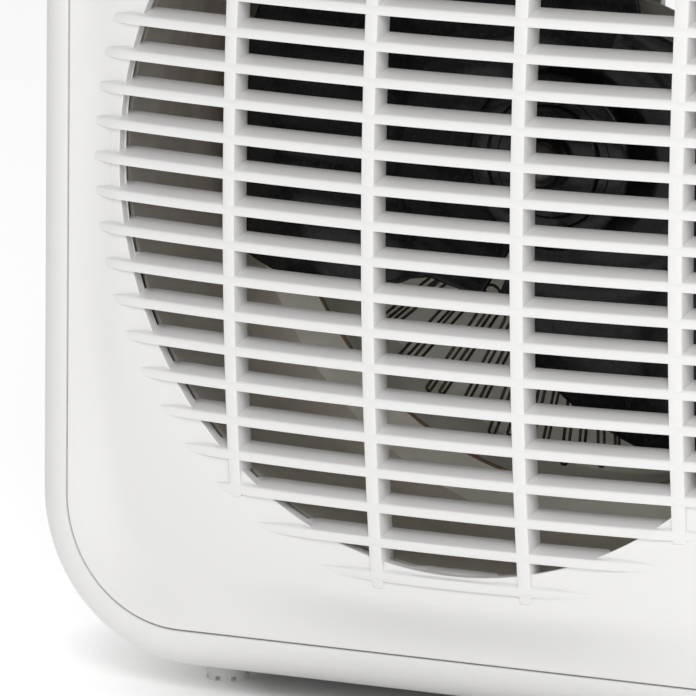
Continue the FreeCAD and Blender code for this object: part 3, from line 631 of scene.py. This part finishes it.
def finished(obj, name, body, finish, nodes=(), smooth=32.0, weighted=True):
    """Name a piece, smooth it, give it its finish, and let it ride on its body."""
    only(obj)
    obj.name = name
    obj.data.name = name
    bpy.ops.object.shade_smooth_by_angle(angle=math.radians(smooth))
    if weighted:
        apply_modifier(obj, "WEIGHTED_NORMAL", keep_sharp=True)
    obj.data.materials.clear()
    obj.data.materials.append(FINISHES[finish])
    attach(obj, body)
    if nodes:
        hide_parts(*nodes)
    return obj


# ---- where things are ----

def smoothstep(value):
    value = min(max(value, 0.0), 1.0)
    return value * value * (3 - 2 * value)


def case_centre_z():
    return (CASE_LOW.z + CASE_HIGH.z) / 2


def edge_distance(x, z):
    """Distance from a point inwards to the outline of the case, seen from the front."""
    corner = case_sizes().corner
    across = abs(x) - (CASE_HIGH.x - corner)
    upright = abs(z - case_centre_z()) - ((CASE_HIGH.z - CASE_LOW.z) / 2 - corner)
    outside = math.hypot(max(across, 0), max(upright, 0)) + min(max(across, upright), 0)
    return corner - outside


def crown(x, z):
    """Depth of the bowed grille front behind its foremost point."""
    sizes = grille_sizes()
    bow = sizes.bow_across * x * x + sizes.bow_upright * (z - CENTRE_Z) ** 2
    rim_depth = CASE_LOW.y - FRONT_Y
    inner = edge_distance(x, z) - case_sizes().rim - case_sizes().seam
    return rim_depth + (bow - rim_depth) * smoothstep(inner / sizes.edge_blend)


def from_axis(x, z):
    return math.hypot(x, z - CENTRE_Z)


def dish(x, z):
    """How far the panel dips near the round opening, so that slats and ribs run on over it."""
    sizes = grille_sizes()
    share = (from_axis(x, z) - sizes.opening) / sizes.dish_width
    return sizes.dish * (1 - smoothstep(share))


def on_outline(x, z, inset):
    """The point of the inset outline of the case in the direction of a point from the opening's middle."""
    direction = Vector((x, z - CENTRE_Z)).normalized()
    near, far = 0.0, 0.3
    for _ in range(30):
        middle = (near + far) / 2
        if edge_distance(direction.x * middle, CENTRE_Z + direction.y * middle) > inset:
            near = middle
        else:
            far = middle
    return direction.x * near, CENTRE_Z + direction.y * near


# ---- front grille ----

def grille_panel():
    """Crowned panel: a ring drawn out to the outline, dished, with a collar, a skirt and wall thickness."""
    sizes = grille_sizes()
    gap = case_sizes().rim + case_sizes().seam
    deselect()
    bpy.ops.mesh.primitive_circle_add(vertices=480, radius=sizes.opening, fill_type="NOTHING",
                                      location=(0, FRONT_Y, CENTRE_Z), rotation=(math.pi / 2, 0, 0))
    ring = settle(bpy.context.object)
    inner = len(ring.data.vertices)
    bpy.ops.object.mode_set(mode="EDIT")
    bpy.ops.mesh.select_all(action="SELECT")
    bpy.ops.mesh.extrude_edges_move()
    leave_edit()
    for vertex in ring.data.vertices[inner:]:
        x, z = on_outline(vertex.co.x, vertex.co.z, gap)
        vertex.co = (x, vertex.co.y, z)
    edge = sizes.opening + 0.001
    collar_depth = 0.004
    pick_edges(ring, lambda a, b: (from_axis(a.x, a.z) < edge) != (from_axis(b.x, b.z) < edge))
    bpy.ops.mesh.subdivide_edgering(number_cuts=44, interpolation="LINEAR", smoothness=0)
    leave_edit()
    shape_points(ring, lambda p: Vector((p.x, FRONT_Y + crown(p.x, p.z) + dish(p.x, p.z) + 0.00006, p.z)))
    pick_edges(ring, lambda a, b: max(from_axis(a.x, a.z), from_axis(b.x, b.z)) < sizes.opening + 1e-5)
    bpy.ops.mesh.extrude_edges_move(TRANSFORM_OT_translate={"value": (0, 0.002, 0)})
    bpy.ops.mesh.extrude_edges_move(TRANSFORM_OT_translate={"value": (0, 0.002, 0)})
    leave_edit()
    for vertex in ring.data.vertices:
        if from_axis(vertex.co.x, vertex.co.z) < sizes.opening + 1e-5:
            rise = vertex.co.y - FRONT_Y - crown(vertex.co.x, vertex.co.z)
            if rise > sizes.dish + 0.003:
                vertex.co.y += collar_depth - rise
    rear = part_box("front_grille")[1].y
    pick_edges(ring, lambda a, b: edge_distance(a.x, a.z) < gap + 1e-5 and edge_distance(b.x, b.z) < gap + 1e-5)
    bpy.ops.mesh.extrude_edges_move(TRANSFORM_OT_translate={"value": (0, 0.008, 0)})
    bpy.ops.mesh.extrude_edges_move(TRANSFORM_OT_translate={"value": (0, 0.008, 0)})
    leave_edit()
    for vertex in ring.data.vertices:
        if edge_distance(vertex.co.x, vertex.co.z) < gap + 1e-5 and vertex.co.y > CASE_LOW.y + 0.012:
            vertex.co.y = rear
    outwards(ring)
    flip_if(ring, lambda p: p.normal.y > 0 and abs(p.normal.y) > 0.6)
    rounded(ring, 0.0006, 3, 40)
    apply_modifier(ring, "SOLIDIFY", thickness=case_sizes().wall, offset=-1, use_even_offset=True)
    return ring


def flip_if(obj, wrong):
    """Turn all faces round if more of them fail a test than pass it."""
    faces = [p for p in obj.data.polygons if abs(p.normal.y) > 0.6]
    if sum(bool(wrong(p)) for p in faces) * 2 > len(faces):
        only(obj)
        bpy.ops.object.mode_set(mode="EDIT")
        bpy.ops.mesh.select_all(action="SELECT")
        bpy.ops.mesh.flip_normals()
        leave_edit()
    return obj


def grille_bar(low, high, lengthwise, rise=0.0, sunk=0.0):
    """Slat or rib: a cube cut into short lengths, its long edges rounded, laid on the crown."""
    bar = new_box(low, high)
    steps = max(int((high[lengthwise] - low[lengthwise]) / 0.002), 4)
    pick_edges(bar, lambda a, b: abs(a[lengthwise] - b[lengthwise]) > 1e-4)
    bpy.ops.mesh.subdivide_edgering(number_cuts=steps, interpolation="LINEAR", smoothness=0)
    leave_edit()
    rounded(bar, 0.00038, 2, 60)
    sizes = grille_sizes()
    collar = sizes.opening + case_sizes().wall * 0.6
    middle = (low[2 - lengthwise] + high[2 - lengthwise]) / 2

    def lay(point):
        deep = (point.y - low[1]) / sizes.slat_depth
        radius = from_axis(point.x, point.z)
        if radius > collar:
            deep *= 0.36
        share = smoothstep((radius - sizes.opening - 0.001) / (sizes.dish_width * 0.95))
        sink = 0.0009 * share
        x, z = point.x, point.z + rise * (point.y - low[1]) / sizes.slat_depth
        if lengthwise == 0:
            z = middle + (z - middle) * (1 - 0.35 * share)
        else:
            x = middle + (x - middle) * (1 - 0.4 * share)
        return Vector((x, FRONT_Y + crown(x, point.z) + sunk + sink + deep * sizes.slat_depth, z))

    return shape_points(bar, lay)


def bar_reach(offset, share=1.04):
    reach = grille_sizes().opening + grille_sizes().dish_width * share
    return math.sqrt(max(reach * reach - offset * offset, 0.0))


def front_grille():
    sizes = grille_sizes()
    pieces = []
    rear = FRONT_Y + sizes.slat_depth - 0.00005
    rows = int((sizes.opening + sizes.dish_width * 0.9) / sizes.slat_pitch)
    for row in range(-rows, rows + 1):
        middle = row * sizes.slat_pitch - sizes.slat_drop
        half = bar_reach(abs(middle) + sizes.slat_height / 2)
        z = CENTRE_Z + middle
        pieces.append(grille_bar((-half, FRONT_Y, z - sizes.slat_height / 2), (half, rear, z + sizes.slat_height / 2),
                                 0, sizes.slat_rise))
    for column in range(4):
        x = (column - 1.5) * sizes.rib_pitch
        half = bar_reach(abs(x) + sizes.rib_width / 2, 0.52)
        pieces.append(grille_bar((x - sizes.rib_width / 2, FRONT_Y, CENTRE_Z - half),
                                 (x + sizes.rib_width / 2, rear, CENTRE_Z + half), 2, sunk=0.00003))
    bars = outwards(joined(pieces))
    finished(bars, "grille_bars", "root", "shell", weighted=False, smooth=40)
    panel = grille_panel()
    finished(panel, "grille_panel", "root", "shell", ["front_grille"])
    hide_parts("front_grille")


# ---- case ----

def case_shell():
    """Wrap-around shell: a block with rounded corners, a rounded front rim and hollow inside."""
    sizes = case_sizes()
    low, high = CASE_LOW.copy(), CASE_HIGH.copy()
    high.y = REAR_LOW.y + 0.003
    shell = new_box(low, high)
    pick_edges(shell, lambda a, b: abs(a.y - b.y) > 1e-4)
    bpy.ops.mesh.bevel(offset=sizes.corner, offset_type="OFFSET", segments=28, profile=0.5, affect="EDGES")
    leave_edit()
    pick_faces(shell, lambda c, n: abs(n.y) > 0.9)
    bpy.ops.mesh.delete(type="ONLY_FACE")
    leave_edit()
    pick_edges(shell, both_at(1, low.y))
    bpy.ops.mesh.edge_face_add()
    leave_edit()
    pick_edges(shell, both_at(1, low.y))
    bpy.ops.mesh.bevel(offset=sizes.rim, offset_type="OFFSET", segments=12, profile=0.5, affect="EDGES")
    leave_edit()
    pick_faces(shell, lambda c, n: n.y < -0.999 and abs(c.y - low.y) < 1e-6 and edge_distance(c.x, c.z) > 0.02)
    bpy.ops.mesh.delete(type="ONLY_FACE")
    leave_edit()
    return shell


def bored(obj, cutter):
    """Take a cutter out of an object and throw the cutter away."""
    only(obj)
    modifier = obj.modifiers.new("Bore", "BOOLEAN")
    modifier.operation = "DIFFERENCE"
    modifier.solver = "EXACT"
    modifier.object = cutter
    bpy.ops.object.modifier_apply(modifier=modifier.name)
    bpy.data.objects.remove(cutter)
    return obj


def finish_case():
    shell = case_shell()
    apply_modifier(shell, "SOLIDIFY", thickness=case_sizes().wall, offset=-1, use_even_offset=True)
    low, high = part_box("tipover_plunger")
    middle = (low + high) / 2
    bored(shell, new_post(0.00335, CASE_LOW.z - 0.004, CASE_LOW.z + 0.006, middle.x, middle.y, 48))
    low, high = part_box("control_panel")
    inset = 0.004
    bored(shell, new_box((low.x + inset, low.y + inset, CASE_HIGH.z - 0.006),
                         (high.x - inset, high.y - inset, high.z)))
    rounded(shell, 0.0003, 2, 50)
    finished(shell, "case_shell", "root", "shell", ["case_body"])


# ---- machined and moulded parts that keep their shape ----

def carried(node, width, angle=40):
    """A copy of a frame part with its loose triangles merged and its sharp edges eased."""
    twin = copied(frame["nodes"][node])
    for key in list(twin.keys()):
        del twin[key]
    twin.parent = None
    twin.matrix_world = Matrix.Identity(4)
    only(twin)
    if twin.data.has_custom_normals:
        bpy.ops.mesh.customdata_custom_splitnormals_clear()
    bpy.ops.object.mode_set(mode="EDIT")
    bpy.ops.mesh.select_all(action="SELECT")
    bpy.ops.mesh.remove_doubles(threshold=1e-6)
    bpy.ops.mesh.dissolve_limited(angle_limit=math.radians(0.4))
    leave_edit()
    if width:
        rounded(twin, width, 2, angle)
    return twin


def body_of(node):
    for body, nodes in frame["record"]["behaviour"]["bodies"].items():
        if node in nodes:
            return body
    return "root"


SLOT_FINISH = {
    "white_shell": "shell", "grey_knob": "panel", "duct_metal": "duct", "zinc_steel": "steel",
    "black_plastic": "dark", "mica": "mica", "ceramic": "ceramic", "nichrome": "wire", "lamination": "stack",
    "copper": "copper", "nylon": "natural", "bronze": "bronze", "rubber_grey": "rubber",
    "amber_lens": "lens", "lamp_glass": "glass",
}


def slot_of(node):
    for part in frame["record"]["subparts"]:
        if part["node"] == node:
            return part["material_slot"]
    return "white_shell"


def carry(node, width, finish=None, smooth=32.0):
    """Stand a finished copy in for a frame part."""
    slot = slot_of(node)
    piece = carried(node, width)
    return finished(piece, node + "_piece", body_of(node), finish or SLOT_FINISH[slot], [node], smooth)


# ---- fan ----

def along_list(knots, value):
    """Value read off a short list of (place, value) knots, straight between them."""
    if value <= knots[0][0]:
        return knots[0][1]
    for (start, first), (end, second) in zip(knots[:-1], knots[1:]):
        if value <= end:
            return first + (second - first) * (value - start) / (end - start)
    return knots[-1][1]


# The two edges of a blade: radius in mm on a tip of 80 mm, and angle in degrees round the axis.
BLADE_TIP = 0.08
BLADE_LINE = math.radians(62)
LOW_EDGE = ((19, 242), (35.5, 242), (38, 233), (41, 224), (45, 220.5), (52, 218), (60, 214), (70, 207.5),
            (80, 199.5))
HIGH_EDGE = ((19, 62), (36, 62), (41, 69), (47, 77), (54, 87), (62, 98.5), (70, 109), (80, 119))


def fan_blade(turn):
    """Broad blade: a grid fanned out between its two edges, bowed, tilted and given thickness."""
    sizes = bpy.context.scene.heater_fan
    tip = (FAN_HIGH.x - FAN_LOW.x) / 2 - sizes.thickness * 0.2
    root = 0.0192
    deselect()
    bpy.ops.mesh.primitive_grid_add(x_subdivisions=56, y_subdivisions=72, size=1, location=(0, 0, 0))
    blade = bpy.context.object
    middle = (FAN_LOW.y + FAN_HIGH.y) / 2 + 0.001

    def lay(point):
        radius = root + (tip - root) * (point.x + 0.5)
        place = radius / MM * BLADE_TIP / tip
        low, high = (math.radians(along_list(edge, place)) for edge in (LOW_EDGE, HIGH_EDGE))
        angle = low + (high - low) * (point.y + 0.5)
        x, z = radius * math.cos(angle), radius * math.sin(angle)
        across = x * math.cos(BLADE_LINE) + z * math.sin(BLADE_LINE)
        outward = smoothstep((radius - 0.018) / 0.02)
        bow = sizes.camber * (1 - min((across / 0.052) ** 2, 1)) * outward
        sweep = 0.0008 * math.sin(across / 0.02) * outward
        return Vector((x, middle + across * math.tan(sizes.pitch) - bow + sweep, CENTRE_Z + z))

    shape_points(blade, lay)
    outwards(blade)
    apply_modifier(blade, "SOLIDIFY", thickness=sizes.thickness, offset=0, use_even_offset=True)
    rounded(blade, 0.0005, 2, 50)
    return turned(blade, turn)


def turned_profile(points, steps=96):
    """Spin a profile of (radius, depth) points round the fan axis."""
    deselect()
    bpy.ops.mesh.primitive_circle_add(vertices=len(points), radius=0.01, fill_type="NOTHING", location=(0, 0, 0))
    obj = bpy.context.object
    only(obj)
    for vertex, (radius, depth) in zip(obj.data.vertices, points):
        vertex.co = (radius, FRONT_Y + depth, CENTRE_Z)
    first, last = (Vector((radius, FRONT_Y + depth, CENTRE_Z)) for radius, depth in (points[0], points[-1]))
    near = 1e-7
    pick_edges(obj, lambda a, b: (a - last).length < near and (b - first).length < near
               or (b - last).length < near and (a - first).length < near)
    bpy.ops.mesh.delete(type="EDGE")
    leave_edit()
    pick_edges(obj, lambda a, b: True)
    bpy.ops.mesh.spin(steps=steps, angle=2 * math.pi, center=(0, 0, CENTRE_Z), axis=(0, 1, 0))
    leave_edit()
    return outwards(obj)


def fan_rotor():
    sizes = bpy.context.scene.heater_fan
    front, rear = FAN_LOW.y - FRONT_Y, FAN_HIGH.y - FRONT_Y
    hub = turned_profile([
        (0.0026, front), (0.0118, front), (0.0124, front + 0.0004), (0.0127, front + 0.0012),
        (0.0146, front + 0.0013), (0.0152, front + 0.0007), (0.0184, front + 0.0008), (0.0194, front + 0.0012), (0.02, front + 0.0022),
        (0.02, rear - 0.0011), (0.018, rear - 0.0011), (0.018, front + 0.0032), (0.007, front + 0.0032),
        (0.007, rear - 0.001), (0.0026, rear - 0.001), (0.0026, front + 0.00001)])
    ribs = []
    for k in range(6):
        rib = new_box((0.0066, FAN_LOW.y + 0.0028, CENTRE_Z - 0.0006),
                      (0.0184, FAN_HIGH.y - 0.003, CENTRE_Z + 0.0006))
        ribs.append(turned(rounded(rib, 0.0003), math.tau / 6 * k))
    blades = [fan_blade(math.tau / sizes.blades * k) for k in range(sizes.blades)]
    finished(joined([hub] + ribs + blades), "fan_rotor", "fan", "black", ["fan_impeller"], 40)


def fan_cap():
    """Domed cap on the end of the shaft, with a flange and a flat round its foot."""
    low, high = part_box("fan_nut")
    front, rear = low.y - FRONT_Y, high.y - FRONT_Y
    radius = (high.x - low.x) / 2
    turns = [math.pi / 2 * index / 14 for index in range(15)]
    dome = [(radius * math.sin(turn), front + radius - radius * math.cos(turn)) for turn in turns]
    dome[0] = (0.00002, front)
    cap = turned_profile(dome + [(radius, front + radius + 0.0002), (radius - 0.0004, front + radius + 0.0005),
                                 (radius - 0.0004, rear), (0.0026, rear)])
    finished(cap, "fan_cap", "fan", "cap", ["fan_nut"], 40)


# ---- heating element ----

def hairpin(radius, angle, half, outside, steps=8):
    """Points round one bend of the wire; the two legs stand a half width to each side of an angle."""
    points = []
    for step in range(steps + 1):
        turn = math.pi * step / steps
        reach = radius - half + half * math.sin(turn) if outside else radius + half - half * math.sin(turn)
        points.append((reach, angle - half * math.cos(turn) / radius))
    return points


def wire_through(points, radius):
    """Round wire through a run of points."""
    curve = bpy.data.curves.new("wire_run", "CURVE")
    curve.dimensions = "3D"
    curve.bevel_depth = radius
    curve.bevel_resolution = 1
    curve.use_fill_caps = True
    spline = curve.splines.new("POLY")
    spline.points.add(len(points) - 1)
    for point, place in zip(spline.points, points):
        point.co = (*place, 1)
    obj = bpy.data.objects.new("wire_run", curve)
    bpy.context.collection.objects.link(obj)
    only(obj)
    bpy.ops.object.convert(target="MESH")
    return bpy.context.object


def zigzag(node, layer):
    """One layer of the element: a round wire that runs out and in round the ring."""
    sizes = bpy.context.scene.heater_element
    low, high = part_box(node)
    depth = (low.y + high.y) / 2
    dice = random.Random(40 + layer)
    step = math.tau / sizes.legs
    first = sizes.legs // 4 + 2.5 + layer * sizes.stagger
    bends = (sizes.legs - sizes.gap_legs) // 2
    run = []
    for k in range(bends):
        angle = step * (first + 2 * k) + dice.uniform(-0.005, 0.005)
        run += hairpin(sizes.outer + dice.uniform(-0.0006, 0.0006), angle, dice.uniform(0.0005, 0.0008), True)
        if k < bends - 1:
            inner = sizes.inner + dice.uniform(-0.0005, 0.0005)
            run += hairpin(inner, angle + step, sizes.inner * step - 0.0007, False)
    points = []
    wave = 0.0
    for radius, angle in run:
        wave = wave * 0.8 + dice.uniform(-0.00012, 0.00012)
        points.append((radius * math.cos(angle), depth + wave, CENTRE_Z + radius * math.sin(angle)))
    wire = wire_through(points, sizes.thickness / 2)
    finished(wire, node + "_coil", "root", "wire", [node], 60, weighted=False)


def spring_coil():
    """Small compression spring of the tip-over switch."""
    low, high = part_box("tipover_spring")
    middle = (low + high) / 2
    wire = 0.00032
    radius = (high.x - low.x) / 2 - wire
    turns = 5.5
    steps = 200
    points = []
    for index in range(steps + 1):
        share = index / steps
        angle = math.tau * turns * share
        rise = smoothstep(share * 1.1 - 0.05) * 0.35 + share * 0.65
        points.append((middle.x + radius * math.cos(angle), middle.y + radius * math.sin(angle),
                       low.z + wire + (high.z - low.z - 2 * wire) * rise))
    coil = wire_through(points, wire)
    finished(coil, "tipover_spring_coil", "root", "steel", ["tipover_spring"], 60, weighted=False)


def lip_with_painted_shade():
    """Rolled inner edge of the shroud ring, coloured dark brown as painted shade for the shadow line at the ring's
    edge.
    """
    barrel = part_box("motor_plate")[1].x
    deselect()
    bpy.ops.mesh.primitive_torus_add(
        major_segments=160, minor_segments=10, major_radius=barrel - 0.0006, minor_radius=0.00042,
        location=(0, SHROUD_LOW.y + 0.0003, CENTRE_Z), rotation=(math.pi / 2, 0, 0))
    finished(settle(bpy.context.object), "shroud_lip", "root", "lip_shade", smooth=60, weighted=False)


# ---- controls ----

def dial_marks(node, sweep, ticks, wedge):
    """Raised marks on the control panel round one knob."""
    low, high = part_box(node)
    x, y = (low.x + high.x) / 2, (low.y + high.y) / 2
    reach = (high.x - low.x) / 2
    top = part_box("control_panel")[1].z
    marks = []
    for index in range(ticks):
        turn = math.pi - sweep * index / (ticks - 1)
        long = 0.0032 if index % 2 == 0 else 0.0018
        size = 0.0009 if not wedge else 0.0006 + 0.0012 * index / (ticks - 1)
        mark = new_box((reach + 0.0022, -size / 2, top - 0.0002), (reach + 0.0022 + long, size / 2, top + 0.0003))
        rounded(mark, 0.00012, 2)
        mark.data.transform(Matrix.Translation((x, y, 0)) @ Matrix.Rotation(turn, 4, "Z"))
        marks.append(mark)
    return marks


def control_marks():
    marks = dial_marks("selector_knob", math.radians(180), 5, False)
    marks += dial_marks("thermostat_knob", math.radians(270), 13, True)
    finished(joined(marks), "control_marks", "root", "mark", smooth=40)


def knob(node):
    """Knob with rounded edges and a dark pointer line let into one end of its grip."""
    piece = carried(node, 0.0011, 40)
    low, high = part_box(node)
    body = body_of(node)
    x, y = (low.x + high.x) / 2, (low.y + high.y) / 2
    near, far = low.x + 0.0042, x - 0.005
    bored(piece, new_box((near, y - 0.0007, high.z - 0.0005), (far, y + 0.0007, high.z + 0.001)))
    pointer = new_box((near, y - 0.0007, high.z - 0.0007), (far, y + 0.0007, high.z - 0.0001))
    finished(pointer, node + "_pointer", body, "mark", smooth=40)
    finished(piece, node + "_piece", body, "knob", [node], 40)


# ---- stage ----

def lay_stage():
    scene = bpy.context.scene
    deselect()
    bpy.ops.mesh.primitive_plane_add(size=9.0, location=(0, 0, 0))
    floor = bpy.context.object
    floor.name = "studio_floor"
    floor.data.materials.append(studio_floor("floor_paper"))
    world = bpy.data.worlds.new("studio")
    world.use_nodes = True
    world.node_tree.nodes["Background"].inputs["Color"].default_value = (1, 1, 1, 1)
    world.node_tree.nodes["Background"].inputs["Strength"].default_value = 0.30
    scene.world = world
    scene.view_settings.view_transform = "Standard"
    lamp((0.95, -1.9, 0.5), 0.6, 7, (0, 0, 0.12))
    lamp((0.75, -1.7, 1.25), 0.9, 23, (0, 0, 0.12))
    place_camera()


def lamp(place, size, power, target):
    deselect()
    bpy.ops.object.light_add(type="AREA", location=place)
    light = bpy.context.object
    light.data.size = size
    light.data.energy = power
    light.rotation_euler = (Vector(target) - Vector(place)).to_track_quat("-Z", "Y").to_euler()
    return light


def place_camera():
    """Long-lens camera, low and to the left of the heater's front."""
    yaw, pitch, roll = math.radians(27.564), math.radians(9.851), math.radians(0.573)
    right = Vector((math.cos(yaw), math.sin(yaw), 0))
    forward = Vector((-math.sin(yaw) * math.cos(pitch), math.cos(yaw) * math.cos(pitch), -math.sin(pitch)))
    above = right.cross(forward)
    side = math.cos(roll) * right + math.sin(roll) * above
    up = math.cos(roll) * above - math.sin(roll) * right
    camera = bpy.data.objects.new("camera", bpy.data.cameras.new("camera"))
    bpy.context.scene.collection.objects.link(camera)
    camera.data.lens = 507.85
    camera.data.sensor_width = 36
    camera.data.clip_end = 30
    turn = Matrix((side, up, -forward)).transposed().to_4x4()
    camera.matrix_world = Matrix.Translation(Vector((0.94660, FRONT_Y - 1.85554, CENTRE_Z + 0.32778))) @ turn
    bpy.context.scene.camera = camera


# ---- order of work ----

FINE_PARTS = {
    "rear_cover": 0.0004, "duct_ring": 0.00015, "fan_shroud": 0.00015, "motor_plate": 0.00015, "mica_spokes": 0.0,
    "element_hub": 0.0003, "thermal_cutout": 0.0002, "thermal_fuse": 0.0002, "motor_shaft": 0.0002,
    "motor_rotor": 0.0003, "stator_core": 0.0003, "winding_bobbin": 0.0002, "stator_winding": 0.0012,
    "front_bearing_bracket": 0.0004, "rear_bearing_bracket": 0.0004, "front_bearing_bush": 0.0002,
    "rear_bearing_bush": 0.0002, "motor_screws": 0.0002, "control_panel": 0.0003, "selector_switch": 0.0003,
    "selector_spindle": 0.0003, "thermostat_frame": 0.0003, "thermostat_spindle": 0.0003, "thermostat_blade": 0.0,
    "pilot_lens": 0.0002, "pilot_lamp": 0.0004, "feet": 0.0003, "foot_screws": 0.0001, "tipover_plunger": 0.0003,
    "tipover_switch": 0.0003, "cord_gland": 0.0003, "terminal_block": 0.0003, "grille_screws": 0.0001,
    "rear_cover_screws": 0.0001, "duct_screws": 0.0001, "element_screws": 0.0001,
}


class HEATER_OT_grille(bpy.types.Operator):
    """Model the crowned front grille"""
    bl_idname = "heater.grille"
    bl_label = "Front Grille"

    def execute(self, context):
        front_grille()
        return {"FINISHED"}


class HEATER_OT_case(bpy.types.Operator):
    """Model the wrap-around case shell"""
    bl_idname = "heater.case"
    bl_label = "Case"

    def execute(self, context):
        finish_case()
        return {"FINISHED"}


class HEATER_OT_fan(bpy.types.Operator):
    """Model the broad-bladed fan and its domed cap"""
    bl_idname = "heater.fan"
    bl_label = "Fan"

    def execute(self, context):
        fan_rotor()
        fan_cap()
        return {"FINISHED"}


class HEATER_OT_element(bpy.types.Operator):
    """Wind the two layers of zigzag wire"""
    bl_idname = "heater.element"
    bl_label = "Heating Element"

    def execute(self, context):
        zigzag("heating_wire_front", 0)
        zigzag("heating_wire_rear", 1)
        return {"FINISHED"}


class HEATER_OT_controls(bpy.types.Operator):
    """Model the knobs and the marks round them"""
    bl_idname = "heater.controls"
    bl_label = "Controls"

    def execute(self, context):
        knob("selector_knob")
        knob("thermostat_knob")
        control_marks()
        spring_coil()
        return {"FINISHED"}


class HEATER_OT_parts(bpy.types.Operator):
    """Ease the edges of the machined and moulded parts and give them their finishes"""
    bl_idname = "heater.parts"
    bl_label = "Machined Parts"

    def execute(self, context):
        for node, width in FINE_PARTS.items():
            # the shroud and motor plate take the lightened duct sheet, which is painted light
            carry(node, width, "plate" if node in ("fan_shroud", "motor_plate") else None)
        # the lip's dark brown is painted shade
        lip_with_painted_shade()
        return {"FINISHED"}


class HEATER_OT_stage(bpy.types.Operator):
    """Lay the floor, hang the lamps and place the camera"""
    bl_idname = "heater.stage"
    bl_label = "Stage"

    def execute(self, context):
        lay_stage()
        return {"FINISHED"}


class HEATER_PT_panel(bpy.types.Panel):
    """Sidebar list of the heater's pieces"""
    bl_idname = "HEATER_PT_panel"
    bl_label = "Box Fan Heater"
    bl_space_type = "VIEW_3D"
    bl_region_type = "UI"
    bl_category = "Heater"

    def draw(self, context):
        for operator in OPERATORS:
            self.layout.operator(operator.bl_idname)
        for name, group in SETTINGS.items():
            box = self.layout.box()
            box.label(text=group.__doc__)
            settings = getattr(context.scene, name)
            for key in group.__annotations__:
                box.prop(settings, key)


OPERATORS = (HEATER_OT_grille, HEATER_OT_case, HEATER_OT_fan, HEATER_OT_element, HEATER_OT_controls,
             HEATER_OT_parts, HEATER_OT_stage)


def register():
    for item in (*SETTINGS.values(), *OPERATORS, HEATER_PT_panel):
        bpy.utils.register_class(item)
    for name, group in SETTINGS.items():
        setattr(bpy.types.Scene, name, bpy.props.PointerProperty(type=group))


def unregister():
    for name in SETTINGS:
        delattr(bpy.types.Scene, name)
    for item in reversed((*SETTINGS.values(), *OPERATORS, HEATER_PT_panel)):
        bpy.utils.unregister_class(item)


def main():
    register()
    mix_finishes()
    bpy.ops.heater.grille()
    bpy.ops.heater.case()
    bpy.ops.heater.fan()
    bpy.ops.heater.element()
    bpy.ops.heater.controls()
    bpy.ops.heater.parts()
    bpy.ops.heater.stage()


if __name__ == "__main__":
    main()
